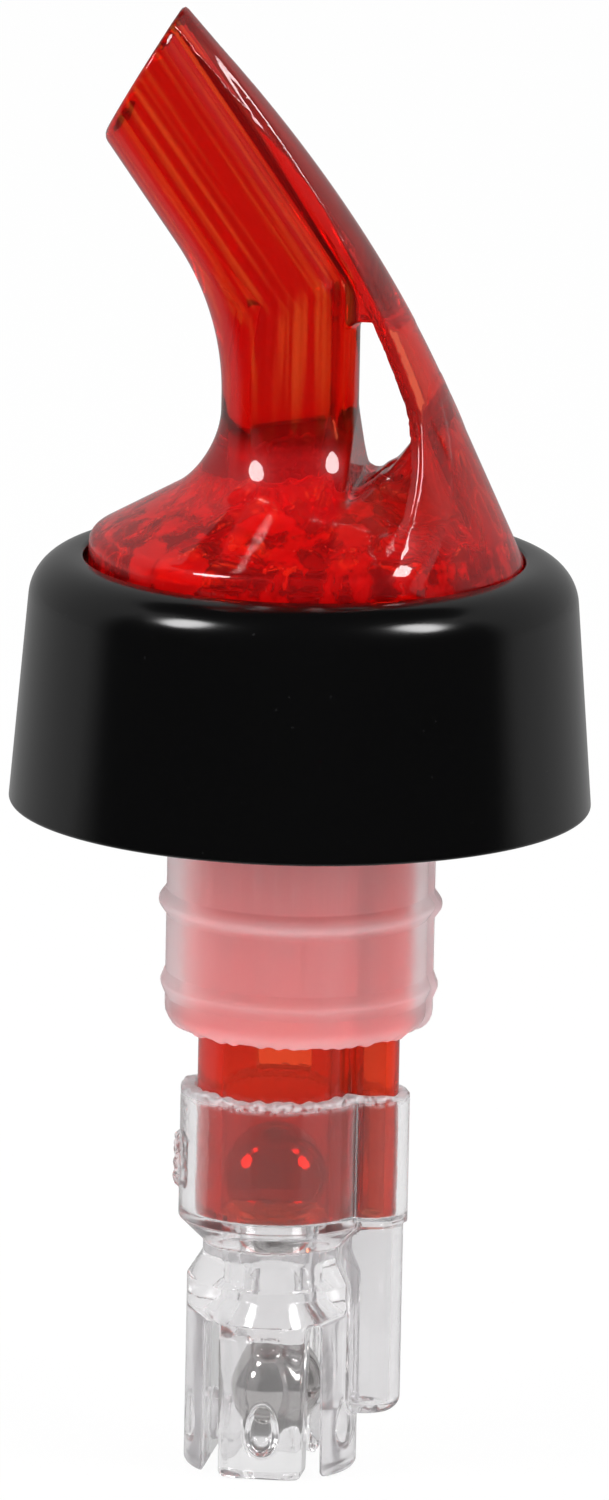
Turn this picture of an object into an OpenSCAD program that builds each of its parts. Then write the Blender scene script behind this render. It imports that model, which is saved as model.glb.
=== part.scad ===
// Measured liquor pourer, standing upright as it does in a bottle.
// A clear bent spout carries a back shield, a bell and a long chamber tube with a breather pipe.
// A loose collar and a ribbed stopper sit round the tube, and a clear tail cage closes its end.
// One steel ball in the chamber shuts the spout, and one in the cage meters the bleed behind it.
// Z is the stopper's axis. The origin is on it, in the plane where the bottle's lip meets the
// stopper's flange. The spout pours towards -X. All sizes are in millimetres.

/* [Balls and seats] */
// Diameter of both steel balls
ball_d = 7.94; // [7.5:0.01:8.2]
// Play round the cut-off ball in its chamber
chamber_play = 0.23; // [0.12:0.01:0.4]
// Play round the check ball in its cage
cage_play = 0.33; // [0.2:0.01:0.45]
// Gap left between a ball and the seat that stops it
seat_gap = 0.1; // [0.05:0.01:0.2]
// Slope of the conical seats, measured from the tube's axis
seat_angle = 30; // [27:1:33]
// Lift of the check ball from its prongs to its seat
check_travel = 3.5; // [2.5:0.1:4.5]

/* [Chamber tube] */
// Distance of the tube's axis from the stopper's axis, towards the spout
tube_offset = 1.35; // [1:0.05:1.8]
// Wall of the tube round the chamber
chamber_wall = 1.95; // [1.6:0.05:2.2]
// Depth of the tube's end below the bottle's lip
tube_depth = 45.7; // [43:0.1:50]
// Height of the cut-off seat's lower edge above the bottle's lip
chamber_top = 2.5; // [1:0.1:4]
// Diameter of the breather pipe beside the tube
breather_d = 4.4; // [4:0.1:4.8]
// Bore of the breather pipe
breather_bore = 2.4; // [1.6:0.1:2.8]
// Distance between the tube's axis and the breather pipe's axis
breather_pitch = 7.3; // [7:0.05:7.6]
// Width of the inlet window in the back of the tube
inlet_w = 5; // [3:0.1:6]
// Height of the inlet window
inlet_h = 4.2; // [2:0.1:4.2]

/* [Spout] */
// Diameter of the pouring tube
spout_d = 10.6; // [10:0.02:12]
// Bore of the spout's upright stretch
spout_bore = 6; // [5:0.1:6.4]
// Bore of the spout's leaning stretch, up to the mouth
mouth_bore = 6.4; // [5.2:0.1:7]
// Radius of the spout's bend, at its axis
bend_radius = 25.5; // [22:0.5:30]
// Angle through which the spout bends
bend_angle = 35.5; // [30:0.5:40]
// Length of the leaning stretch, from the bend to the middle of the mouth
mouth_reach = 12.3; // [10:0.1:15]
// Tilt of the mouth's face, measured from level
mouth_tilt = 60; // [50:1:64]

/* [Flange and bell] */
// Diameter of the spout's flange
flange_d = 33.3; // [32:0.1:35]
// Height of the upright rim that shows above the collar
rim_show = 1.2; // [0.8:0.1:2]
// Rounding of the rim's upper edge
rim_round = 0.5; // [0.3:0.05:0.8]
// Slope of the flange's upper face, measured from level
flange_slope = 29.5; // [26:0.5:32]
// Radius of the bell's hollow curve, from the flange up to the pouring tube
bell_radius = 8; // [6:0.1:9]
// Height of the bend's start above the bell's curve
bend_rise = 0.8; // [0.3:0.1:3]
// Wall of the rim beside the hollow under the flange
hollow_wall = 1.45; // [1:0.05:2]
// Thickness of the roof over the hollow under the flange, measured upright
hollow_roof = 1.6; // [1.2:0.1:2.2]
// Wall of the boss round the breather pipe, where it stands on the stopper
boss_wall = 0.75; // [0.6:0.05:1]

/* [Back shield] */
// Thickness of the shield, measured level
shield_t = 1.3; // [1:0.05:1.6]
// Lean of the shield's lower stretch, from upright
shield_lean = 24.6; // [20:0.2:28]
// Height of the shield's straight lower stretch above the rim
shield_straight = 11.8; // [10:0.1:13]
// Half angle that the shield's foot takes round the rim
shield_foot_angle = 62; // [50:1:70]
// Half width of the shield where its flared foot ends
shield_half_w = 5.7; // [4.5:0.1:6.5]
// Half width of the shield at its tip
shield_tip_half_w = 0.8; // [0.5:0.1:2]
// Inset of the shield's foot from the rim
shield_inset = 0.35; // [0.2:0.05:0.6]
// Height of the vent gap's floor above the rim, beside the pouring tube
gap_floor_h = 4.3; // [3.5:0.1:6]
// Height of the vent gap's top above the rim
gap_top_h = 17.8; // [15:0.1:20]
// Rise of the vent gap's floor towards the shield
gap_floor_angle = 40; // [20:1:42]
// Width of the web under the vent gap
web_w = 8; // [6.5:0.1:9]
// Width of the web above the vent gap
crest_w = 5; // [3:0.1:6]

/* [Collar] */
// Diameter of the collar at its lower edge
collar_d = 45; // [43:0.1:48]
// Height of the collar
collar_h = 19.5; // [17:0.1:22]
// Depth of the collar's lower edge below the bottle's lip
collar_drop = 13.5; // [11:0.1:15]
// Radius of the collar's shoulder
shoulder_r = 4.3; // [3.5:0.1:4.6]
// Wall of the collar's skirt
collar_wall = 1.9; // [1.4:0.1:2.4]
// Thickness of the collar's inner web
collar_web_t = 1.6; // [1.2:0.1:2]
// Rounding of the collar's edges
collar_edge = 0.35; // [0.2:0.05:0.6]
// Play above and below the collar's web
collar_play = 0.2; // [0.1:0.05:0.4]
// Gap between the spout's flange and the collar's opening
opening_gap = 0.35; // [0.2:0.05:0.6]

/* [Stopper] */
// Diameter of the stopper's body
stopper_d = 20.3; // [19.8:0.1:20.8]
// Depth of the stopper's lower end below the bottle's lip
stopper_depth = 31; // [29:0.1:33.5]
// Rounding of the stopper's lower edge
stopper_round = 1.5; // [0.5:0.1:2]
// Diameter of the stopper's flange, which the bottle's lip meets
stopper_flange_d = 26; // [24:0.1:28]
// Thickness of the stopper's flange
stopper_flange_t = 2; // [1.5:0.1:2.5]
// Number of ribs round the stopper
rib_count = 4; // [2:1:4]
// Distance between the ribs
rib_pitch = 6.4; // [5.5:0.1:6.8]
// Depth of the lowest rib below the bottle's lip
rib_low = 27.6; // [26:0.1:28.5]
// Diameter of the lowest rib
rib_low_d = 21.1; // [20.9:0.1:21.6]
// Growth of the diameter from each rib to the next one up
rib_step = 0.6; // [0:0.1:0.8]
// Height of a rib along the stopper
rib_h = 2; // [1.5:0.1:2.6]
// Height of the flat land on a rib's crest
rib_land = 0.6; // [0.4:0.1:0.8]

/* [Tail cage] */
// Gap between the tube and the pieces that are pushed onto it
push_gap = 0.05; // [0.02:0.01:0.12]
// Depth of the cup's rim below the stopper's lower end
tail_gap = 4.7; // [4.2:0.1:6]
// Wall of the cup round the tube
cup_wall = 1.25; // [0.9:0.05:1.6]
// Thickness of the cup's floor at its edge
cup_floor = 0.5; // [0.3:0.1:1]
// Wall of the side column round the breather pipe
column_wall = 0.82; // [0.6:0.02:1.1]
// Diameter of the side column below the cup
column_d = 5.5; // [5:0.1:5.6]
// Bore of the side column
column_bore = 3.8; // [3:0.1:4.2]
// Length of the side column below the cup's floor
column_drop = 15.6; // [12:0.1:18]
// Diameter of the air hole in the column's end
air_hole_d = 1.2; // [0.8:0.1:1.6]
// Diameter of the bleed passage between the chamber and the cage
passage_d = 5.2; // [4.6:0.1:5.6]
// Diameter of the waist under the cup
waist_d = 11; // [10:0.1:12]
// Depth of the waist below the cup's floor
waist_drop = 3.4; // [3:0.1:4]
// Diameter of the barrel round the check ball
barrel_d = 13.36; // [12.8:0.02:14]
// Depth of the barrel's upper edge below the cup's floor
barrel_drop = 5.3; // [5:0.1:6]
// Depth of the slots' upper ends below the cup's floor
slot_drop = 8.1; // [7.5:0.1:9]
// Depth of the prongs' ends below the cup's floor
prong_drop = 20.3; // [19.5:0.1:22]
// Half width of the front and back prongs
prong_half_w = 3.4; // [3:0.1:3.5]
// Width of the slots between the prongs
slot_w = 1.1; // [0.8:0.1:1.1]
// Depth of the flats on the front and back prongs
prong_flat = 0.45; // [0.2:0.05:0.7]
// Chamfer on the prongs' and the column's lower ends
end_chamfer = 0.8; // [0.4:0.1:1]
// Radius of the nubs inside the prongs
nub_r = 1.35; // [1.1:0.05:1.5]
// Depth of the nubs below the check ball's middle
nub_drop = 3.2; // [2.9:0.1:3.4]
// Height of the check ball's middle above the prongs' ends
check_ball_h = 6.5; // [6:0.1:7]

/* [Hidden] */
$fn = 64;
// Overshoot of a cut past the face that it opens, and sink of a joined shape into its neighbour
over = 1;
// Shift by which the bell's curve crosses the tube and the flange instead of touching them,
// and depth by which the room for the vent gap passes the web's upper face
bell_sink = 0.1;
// Distance by which the trimmed rim stands proud of the shield's outer face instead of sharing it
trim_step = 0.05;
// Angle by which the bend runs on into the leaning stretch, and the step where that one starts
bend_sink = 1;
bend_step = 0.02;
// Steps along an arc in a turned outline
arc_steps = 10;
// Degrees in an arc that is as long as its radius
radian = 180 / PI;
// Share of a rib's height that its flanks reach half way up, which rounds it
rib_flank = 0.65;
// Stations up the shield's flared foot and up its curved upper stretch, and steps across it
foot_stations = 7;
curve_stations = 8;
shield_steps = 8;
// Power by which the shield's foot flares
foot_flare = 1.3;
// Share of the shield's thickness that the webs leave between them and its outer face
web_reach = 0.1;
// Share of the curve's height at which the web above the vent gap ends
crest_end = 0.8;
// Side of the block that takes away what lies past the mouth
block = 60;

ball_r = ball_d / 2;
chamber_r = ball_r + chamber_play;
tube_r = chamber_r + chamber_wall;
tube_x = -tube_offset;
breather_r = breather_d / 2;
breather_x = tube_x + breather_pitch;
boss_r = breather_x + breather_r + boss_wall;
spout_r = spout_d / 2;
flange_r = flange_d / 2;

// Levels from the stopper's flange up to the bend
web_z0 = stopper_flange_t + collar_play;
web_z1 = web_z0 + collar_web_t;
flange_z0 = web_z1 + collar_play;
collar_z0 = -collar_drop;
collar_z1 = collar_z0 + collar_h;
rim_z = collar_z1 + rim_show;

// Height of the flange's sloping upper face at radius r, which meets the rim's rounding
function cone_z(r) =
    rim_z + rim_round * cos(flange_slope)
    + (flange_r - rim_round * (1 - sin(flange_slope)) - r) * tan(flange_slope);

// The bell's curve touches that face and the pouring tube on the side away from the shield
bell_z = cone_z(tube_offset + spout_r) + bell_radius * tan(45 - flange_slope / 2);
bend_z = bell_z + bend_rise;

// The bend, the mouth and the tip where the shield ends
bend_x = tube_x - bend_radius;
bend_end = [bend_x + bend_radius * cos(bend_angle), bend_z + bend_radius * sin(bend_angle)];
mouth = bend_end + mouth_reach * [-sin(bend_angle), cos(bend_angle)];
mouth_half = spout_r / cos(mouth_tilt - bend_angle);
tip = mouth + mouth_half * [cos(mouth_tilt), sin(mouth_tilt)];
elbow = [tube_x, bend_z + bend_radius * tan(bend_angle / 2)];
bore_joint_h = spout_bore / 2 * tan(bend_angle / 2);
mouth_bore_len = norm(mouth - elbow) + mouth_half;

// The shield's foot on the rim and the end of its straight stretch
foot_r = flange_r - shield_inset;
knee = [foot_r - shield_straight * tan(shield_lean), rim_z + shield_straight];
foot_z0 = rim_z - shield_inset;

// The vent gap between the pouring tube and the shield
gap_x0 = tube_x + spout_r;
gap_z0 = rim_z + gap_floor_h;
gap_rise = tan(gap_floor_angle);

// Seats and rests of the balls
seat_len = (ball_r + seat_gap) / sin(seat_angle);
chamber_apex = chamber_top + chamber_r / tan(seat_angle);
floor_z = -tube_depth;
cutoff_rest_z = floor_z + sqrt(pow(ball_r + seat_gap, 2) - pow(passage_d / 2, 2));
cutoff_travel = chamber_apex - seat_len - cutoff_rest_z;
prong_z = floor_z - prong_drop;
check_rest_z = prong_z + check_ball_h;
check_apex = check_rest_z + check_travel + seat_len;
cage_r = ball_r + cage_play;
nub_z = check_rest_z - nub_drop;
nub_ring = sqrt(pow(ball_r + seat_gap + nub_r, 2) - pow(nub_drop, 2));

// The tail cage
tail_z1 = -stopper_depth - tail_gap;
cup_z0 = floor_z - cup_floor;
cup_r = tube_r + push_gap + cup_wall;
column_cup_r = breather_r + push_gap + column_wall;
column_z0 = floor_z - column_drop;
barrel_r = barrel_d / 2;

// Points along an arc round c, from angle a0 to angle a1
function arc(c, r, a0, a1) =
    [for (i = [0 : arc_steps]) let (a = a0 + (a1 - a0) * i / arc_steps) c + r * [cos(a), sin(a)]];

// Two upright cylinders side by side: the tube and the breather pipe
module keyhole(main_r, side_r, z0, z1) {
    translate([tube_x, 0, z0])
        cylinder(r = main_r, h = z1 - z0);
    translate([breather_x, 0, z0])
        cylinder(r = side_r, h = z1 - z0);
}

// Flange with a sloping upper face and a rounded rim, turned round the stopper's axis.
// Behind the shield's foot the rim is trimmed along the shield's slope, so that one leads into the other.
module flange() {
    slope = tan(shield_lean);
    trim_r = foot_r + trim_step;
    trim_z1 = rim_z + rim_round + over;
    top_r = tube_offset + spout_r;
    difference() {
        rotate_extrude()
            polygon(concat(
                [[0, flange_z0], [flange_r, flange_z0]],
                arc([flange_r - rim_round, rim_z], rim_round, 0, 90 - flange_slope),
                [[top_r, cone_z(top_r)], [0, cone_z(top_r)]]));
        rotate(-shield_foot_angle)
            rotate_extrude(angle = 2 * shield_foot_angle)
                polygon([
                    [flange_r + over, rim_z - (flange_r + over - trim_r) / slope],
                    [flange_r + over, trim_z1],
                    [trim_r - (trim_z1 - rim_z) * slope, trim_z1]]);
    }
}

// Boss under the flange, which stands on the stopper and holds the tube and the breather pipe
module boss() {
    translate([0, 0, stopper_flange_t])
        cylinder(r = boss_r, h = cone_z(boss_r) - hollow_roof / 2 - stopper_flange_t);
}

// Bell whose hollow curve leads from the flange up to the pouring tube
module bell() {
    centre = [spout_r + bell_radius - bell_sink, bell_z - bell_sink];
    curve = arc(centre, bell_radius, 270 - flange_slope, 180);
    translate([tube_x, 0, 0])
        rotate_extrude()
            polygon(concat(
                [[0, rim_z], [curve[0][0], rim_z]],
                curve,
                [[0, bell_z - bell_sink]]));
}

// Room for the vent gap, above a floor that rises from the pouring tube to the shield
module gap_room() {
    far_x = gap_x0 + flange_r;
    translate([0, web_w, 0])
        rotate([90, 0, 0])
            linear_extrude(2 * web_w)
                polygon([
                    [gap_x0 + bell_sink, gap_z0 - bell_sink],
                    [far_x, gap_z0 - bell_sink + flange_r * gap_rise],
                    [far_x, bend_z + flange_r],
                    [gap_x0 + bell_sink, bend_z + flange_r]]);
}

// Half space past a plane that is tilted towards the spout by angle, at place in the XZ plane
module past(place, angle) {
    translate([place[0], 0, place[1]])
        rotate([0, -angle, 0])
            translate([-block / 2, -block / 2, 0])
                cube(block);
}

// Pouring tube: an upright stretch, a bend and a leaning stretch, which runs on past the mouth
module pouring_tube() {
    translate([tube_x, 0, rim_z])
        cylinder(r = spout_r, h = bend_z - rim_z);
    translate([bend_x, 0, bend_z])
        rotate([90, 0, 0])
            rotate_extrude(angle = bend_angle + bend_sink)
                translate([bend_radius, 0])
                    circle(r = spout_r);
    translate([bend_end[0], 0, bend_end[1]])
        rotate([0, -bend_angle, 0])
            cylinder(r = spout_r + bend_step, h = mouth_reach + mouth_half);
}

// Place on the shield's spine above its straight foot, on a curve that ends at the mouth's tip.
// The height grows evenly with t, from 0 at the end of the foot to 1 at the tip.
function spine_bend(t) =
    let (half = (tip[1] - knee[1]) / 2)
    let (turn = knee + half * [-tan(shield_lean), 1])
    pow(1 - t, 2) * knee + 2 * t * (1 - t) * turn + pow(t, 2) * tip;

// One level cross-section of the shield as [place on the spine, radius, half angle]
function foot_section(t) =
    let (z = foot_z0 + (knee[1] - foot_z0) * t)
    let (r = foot_r - (z - rim_z) * tan(shield_lean))
    let (knee_angle = asin(shield_half_w / knee[0]))
    [[r, z], r, knee_angle + (shield_foot_angle - knee_angle) * pow(1 - t, foot_flare)];

function curve_section(t) =
    let (r = knee[0] + (spout_r - knee[0]) * t)
    let (half_w = shield_half_w + (shield_tip_half_w - shield_half_w) * t)
    [spine_bend(t), r, asin(half_w / r)];

// Points of one cross-section, set in from the outer face by depth
function section_points(s, depth) =
    [for (j = [0 : shield_steps])
        let (a = s[2] * (2 * j / shield_steps - 1))
        [s[0][0] - s[1] + (s[1] - depth) * cos(a), (s[1] - depth) * sin(a), s[0][1]]];

// Back shield: a curved plate that wraps the rim at its foot and narrows to the mouth's tip
module shield() {
    sections = concat(
        [for (i = [0 : foot_stations]) foot_section(i / foot_stations)],
        [for (i = [1 : curve_stations]) curve_section(i / curve_stations)]);
    count = len(sections);
    row = shield_steps + 1;
    ring = 2 * row;
    points = [for (s = sections) each concat(
        section_points(s, 0),
        [for (j = [shield_steps : -1 : 0]) section_points(s, shield_t)[j]])];
    sides = [for (i = [0 : count - 2], j = [0 : ring - 1])
        let (k = (j + 1) % ring)
        each [
            [i * ring + j, (i + 1) * ring + j, (i + 1) * ring + k],
            [i * ring + j, (i + 1) * ring + k, i * ring + k]]];
    caps = [for (j = [0 : shield_steps - 1], e = [0, 1])
        let (base = e * (count - 1) * ring)
        let (quad = [base + j, base + j + 1, base + ring - 2 - j, base + ring - 1 - j])
        each (e == 0
            ? [[quad[0], quad[1], quad[2]], [quad[0], quad[2], quad[3]]]
            : [[quad[0], quad[2], quad[1]], [quad[0], quad[3], quad[2]]])];
    polyhedron(points = points, faces = concat(sides, caps), convexity = 6);
}

// Web under the vent gap, between the pouring tube and the shield's inner face
module gap_web() {
    inner_x = foot_r - (1 - web_reach) * shield_t;
    slope = tan(shield_lean);
    end_x = (inner_x - slope * (gap_z0 - rim_z - gap_x0 * gap_rise)) / (1 + slope * gap_rise);
    end_z = gap_z0 + (end_x - gap_x0) * gap_rise;
    translate([0, web_w / 2, 0])
        rotate([90, 0, 0])
            linear_extrude(web_w)
                polygon([
                    [tube_x, rim_z],
                    [inner_x, rim_z],
                    [end_x, end_z],
                    [gap_x0, gap_z0],
                    [tube_x, gap_z0]]);
}

// Web above the vent gap, which joins the pouring tube's back to the shield where they part
module crest_web() {
    top_z = rim_z + gap_top_h;
    t0 = (top_z - knee[1]) / (tip[1] - knee[1]);
    inset = [(1 - web_reach) * shield_t, 0];
    spine = [for (i = [0 : curve_stations])
        spine_bend(t0 + (crest_end - t0) * i / curve_stations) - inset];
    translate([0, crest_w / 2, 0])
        rotate([90, 0, 0])
            linear_extrude(crest_w)
                polygon(concat([[tube_x, top_z]], spine, [(bend_end + elbow) / 2]));
}

// Hollow ring under the flange, which keeps the moulding's walls even
module flange_hollow() {
    outer_r = flange_r - hollow_wall;
    rotate_extrude()
        polygon([
            [boss_r, flange_z0 - over],
            [outer_r, flange_z0 - over],
            [outer_r, cone_z(outer_r) - hollow_roof],
            [boss_r, cone_z(boss_r) - hollow_roof]]);
}

// Chamber with its conical seat, the spout's bore, the inlet window and the breather bore
module spout_bores() {
    seat_h = (chamber_r - spout_bore / 2) / tan(seat_angle);
    translate([tube_x, 0, floor_z - over])
        cylinder(r = chamber_r, h = chamber_top - floor_z + over);
    translate([tube_x, 0, chamber_top])
        cylinder(r1 = chamber_r, r2 = spout_bore / 2, h = seat_h);
    translate([tube_x, 0, chamber_top + seat_h])
        cylinder(d = spout_bore, h = elbow[1] + bore_joint_h - chamber_top - seat_h);
    translate([tube_x, 0, elbow[1]])
        rotate([0, -bend_angle, 0])
            cylinder(d = mouth_bore, h = mouth_bore_len);
    translate([breather_x, 0, floor_z - over])
        cylinder(d = breather_bore, h = bend_z - floor_z + over);
    translate([tube_x - inlet_w / 2, 0, tail_z1 + (tail_gap - inlet_h) / 2])
        cube([inlet_w, tube_r + over, inlet_h]);
}

// One clear moulding, from the slanted mouth down to the chamber tube's end
module spout() {
    color("crimson")
        difference() {
            union() {
                difference() {
                    union() {
                        flange();
                        bell();
                    }
                    gap_room();
                }
                boss();
                gap_web();
                crest_web();
                keyhole(tube_r, breather_r, floor_z, flange_z0 + over);
                pouring_tube();
                shield();
            }
            flange_hollow();
            spout_bores();
            past(mouth, mouth_tilt);
        }
}

// Skirt, shoulder and inner web in one turned outline
module collar() {
    opening_r = flange_r + opening_gap;
    collar_r = collar_d / 2;
    shoulder_z = collar_z1 - shoulder_r;
    draft = atan((collar_r - opening_r - shoulder_r) / (collar_h - shoulder_r));
    skirt_slope = tan(draft);
    ceiling_r = collar_r - collar_wall - (web_z0 - collar_z0) * skirt_slope;
    color("black")
        rotate_extrude()
            polygon(concat(
                [[boss_r + opening_gap, web_z0], [ceiling_r, web_z0]],
                [[collar_r - collar_wall, collar_z0], [collar_r - collar_edge, collar_z0]],
                [[collar_r, collar_z0 + collar_edge]],
                arc([opening_r, shoulder_z], shoulder_r, draft, 90 - collar_edge / shoulder_r * radian),
                [[opening_r, collar_z1 - collar_edge], [opening_r, web_z1]],
                [[boss_r + opening_gap, web_z1]]));
}

// Outline of one rib on the stopper's wall, from its lower edge to its upper edge
function rib_outline(i, wall_r) =
    let (z = -rib_low + i * rib_pitch)
    let (crest = (rib_low_d + i * rib_step) / 2)
    let (flank = wall_r + (crest - wall_r) * rib_flank)
    [
        [wall_r, z - rib_h / 2], [flank, z - (rib_h + rib_land) / 4], [crest, z - rib_land / 2],
        [crest, z + rib_land / 2], [flank, z + (rib_h + rib_land) / 4], [wall_r, z + rib_h / 2]];

// Ribbed plug with a flange, bored to the outline of the tube and its breather pipe
module stopper() {
    wall_r = stopper_d / 2;
    color("mistyrose")
        difference() {
            rotate_extrude()
                polygon(concat(
                    [[0, -stopper_depth]],
                    arc([wall_r - stopper_round, stopper_round - stopper_depth], stopper_round, 270, 360),
                    [for (i = [0 : rib_count - 1]) each rib_outline(i, wall_r)],
                    [[wall_r, 0], [stopper_flange_d / 2, 0], [stopper_flange_d / 2, stopper_flange_t]],
                    [[0, stopper_flange_t]]));
            keyhole(tube_r + push_gap, breather_r + push_gap, -stopper_depth - over, stopper_flange_t + over);
        }
}

// Cup, waist and barrel in one turned outline, open below for the check ball
module cage_barrel() {
    translate([tube_x, 0, 0])
        rotate_extrude()
            polygon([
                [0, tail_z1],
                [cup_r, tail_z1],
                [cup_r, cup_z0],
                [waist_d / 2, floor_z - waist_drop + over],
                [waist_d / 2, floor_z - waist_drop],
                [barrel_r, floor_z - barrel_drop],
                [barrel_r, prong_z + end_chamfer],
                [barrel_r - end_chamfer, prong_z],
                [0, prong_z]]);
}

// Slots that part the four prongs, and the flats on the front and back ones
module prong_cuts() {
    top_z = floor_z - slot_drop;
    length = top_z - prong_z + over;
    for (side = [-1, 1]) {
        translate([tube_x + side * (prong_half_w + slot_w / 2) - slot_w / 2, -cup_r, top_z - length])
            cube([slot_w, 2 * cup_r, length]);
        translate([tube_x - cup_r, side * (barrel_r - prong_flat + cup_r) - cup_r, top_z - length])
            cube([2 * cup_r, 2 * cup_r, length]);
    }
}

// Bleed passage, conical check seat and the room round the check ball
module cage_bores() {
    seat_z = check_apex - passage_d / 2 / tan(seat_angle);
    room_z = check_apex - cage_r / tan(seat_angle);
    translate([tube_x, 0, seat_z])
        cylinder(d = passage_d, h = floor_z - seat_z + over);
    translate([tube_x, 0, room_z])
        cylinder(r1 = cage_r, r2 = passage_d / 2, h = seat_z - room_z);
    translate([tube_x, 0, prong_z - over])
        cylinder(r = cage_r, h = room_z - prong_z + over);
}

// Side column that carries the breather down beside the cage
module column() {
    translate([breather_x, 0, cup_z0])
        cylinder(r = column_cup_r, h = tail_z1 - cup_z0);
    translate([breather_x, 0, column_z0 + end_chamfer])
        cylinder(d = column_d, h = cup_z0 - column_z0 - end_chamfer);
    translate([breather_x, 0, column_z0])
        cylinder(r1 = column_d / 2 - end_chamfer, r2 = column_d / 2, h = end_chamfer);
}

// Nubs on the prongs' inner faces, on which the check ball rests
module nubs() {
    for (a = [0 : 90 : 270])
        translate([tube_x + nub_ring * cos(a), nub_ring * sin(a), nub_z])
            sphere(r = nub_r);
}

// Clear cage moulding on the tube's end
module tail() {
    color("whitesmoke")
        difference() {
            union() {
                difference() {
                    cage_barrel();
                    prong_cuts();
                    cage_bores();
                }
                column();
                nubs();
            }
            keyhole(tube_r + push_gap, breather_r + push_gap, floor_z, tail_z1 + over);
            translate([breather_x, 0, column_z0 + end_chamfer])
                cylinder(d = column_bore, h = column_drop - end_chamfer + over);
            translate([breather_x, 0, column_z0 - over])
                cylinder(d = air_hole_d, h = end_chamfer + 2 * over);
        }
}

// Ball that rises in the chamber and shuts the spout
module cutoff_ball() {
    color("silver")
        translate([tube_x, 0, cutoff_rest_z])
            sphere(d = ball_d);
}

// Ball that rises from the prongs to the check seat
module check_ball() {
    color("silver")
        translate([tube_x, 0, check_rest_z])
            sphere(d = ball_d);
}

spout();
collar();
stopper();
tail();
cutoff_ball();
check_ball();
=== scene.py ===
"""Looks of a measured liquor pourer, built as surfaces round its solids.

Sizes are in metres, in the solids' own frame: Z is the stopper's axis, the spout pours towards -X.
"""

import math

import bpy
import numpy as np
from bpy.props import FloatProperty, FloatVectorProperty, IntProperty, PointerProperty
from mathutils import Matrix, Vector


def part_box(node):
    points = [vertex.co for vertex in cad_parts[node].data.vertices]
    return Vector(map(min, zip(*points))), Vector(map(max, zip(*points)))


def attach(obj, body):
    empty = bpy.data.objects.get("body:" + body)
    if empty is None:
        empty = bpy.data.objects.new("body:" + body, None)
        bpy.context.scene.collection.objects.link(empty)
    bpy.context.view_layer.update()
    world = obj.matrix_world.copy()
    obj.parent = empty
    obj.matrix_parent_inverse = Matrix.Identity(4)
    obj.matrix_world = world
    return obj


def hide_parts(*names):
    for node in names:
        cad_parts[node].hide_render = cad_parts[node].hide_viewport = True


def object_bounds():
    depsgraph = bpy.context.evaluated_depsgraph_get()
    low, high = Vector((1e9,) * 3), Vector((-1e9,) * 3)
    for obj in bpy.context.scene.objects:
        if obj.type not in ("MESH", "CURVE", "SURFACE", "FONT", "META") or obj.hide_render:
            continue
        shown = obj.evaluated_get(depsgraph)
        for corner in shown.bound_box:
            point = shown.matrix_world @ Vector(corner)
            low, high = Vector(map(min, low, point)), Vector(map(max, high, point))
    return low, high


bl_info = {
    "name": "Measured liquor pourer",
    "version": (1, 0, 0),
    "blender": (4, 5, 0),
    "location": "View3D > Sidebar > Pourer",
    "description": "Builds the looks of a measured liquor pourer round its solids",
    "category": "Object",
}

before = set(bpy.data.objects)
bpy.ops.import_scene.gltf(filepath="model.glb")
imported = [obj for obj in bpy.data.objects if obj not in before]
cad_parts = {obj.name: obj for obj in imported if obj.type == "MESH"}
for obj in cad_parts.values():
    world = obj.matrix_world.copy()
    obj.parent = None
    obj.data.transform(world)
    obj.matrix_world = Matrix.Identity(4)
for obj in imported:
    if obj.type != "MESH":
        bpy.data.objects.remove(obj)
CAD_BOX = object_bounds()
MM = 0.001

SPOUT_LOW, SPOUT_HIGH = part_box("spout")
COLLAR_LOW, COLLAR_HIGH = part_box("collar")
STOPPER_LOW, STOPPER_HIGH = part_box("stopper")
TAIL_LOW, TAIL_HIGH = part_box("tail")
CUTOFF_LOW, CUTOFF_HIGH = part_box("cutoff_ball")
CHECK_LOW, CHECK_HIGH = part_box("check_ball")
TUBE_X = (CUTOFF_LOW.x + CUTOFF_HIGH.x) / 2


def length(name, description, size):
    """A property that holds a length, whose default is given in metres."""
    return FloatProperty(name=name, description=description, default=size, unit="LENGTH", precision=6)


def angle(name, description, degrees):
    """A property that holds an angle, whose default is given in degrees."""
    return FloatProperty(name=name, description=description, default=math.radians(degrees), subtype="ANGLE")


def share(name, description, value):
    """A property that holds a plain number."""
    return FloatProperty(name=name, description=description, default=value)


def colour(name, description, value):
    """A property that holds a linear colour."""
    return FloatVectorProperty(name=name, description=description, default=value, subtype="COLOR", min=0)


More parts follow.
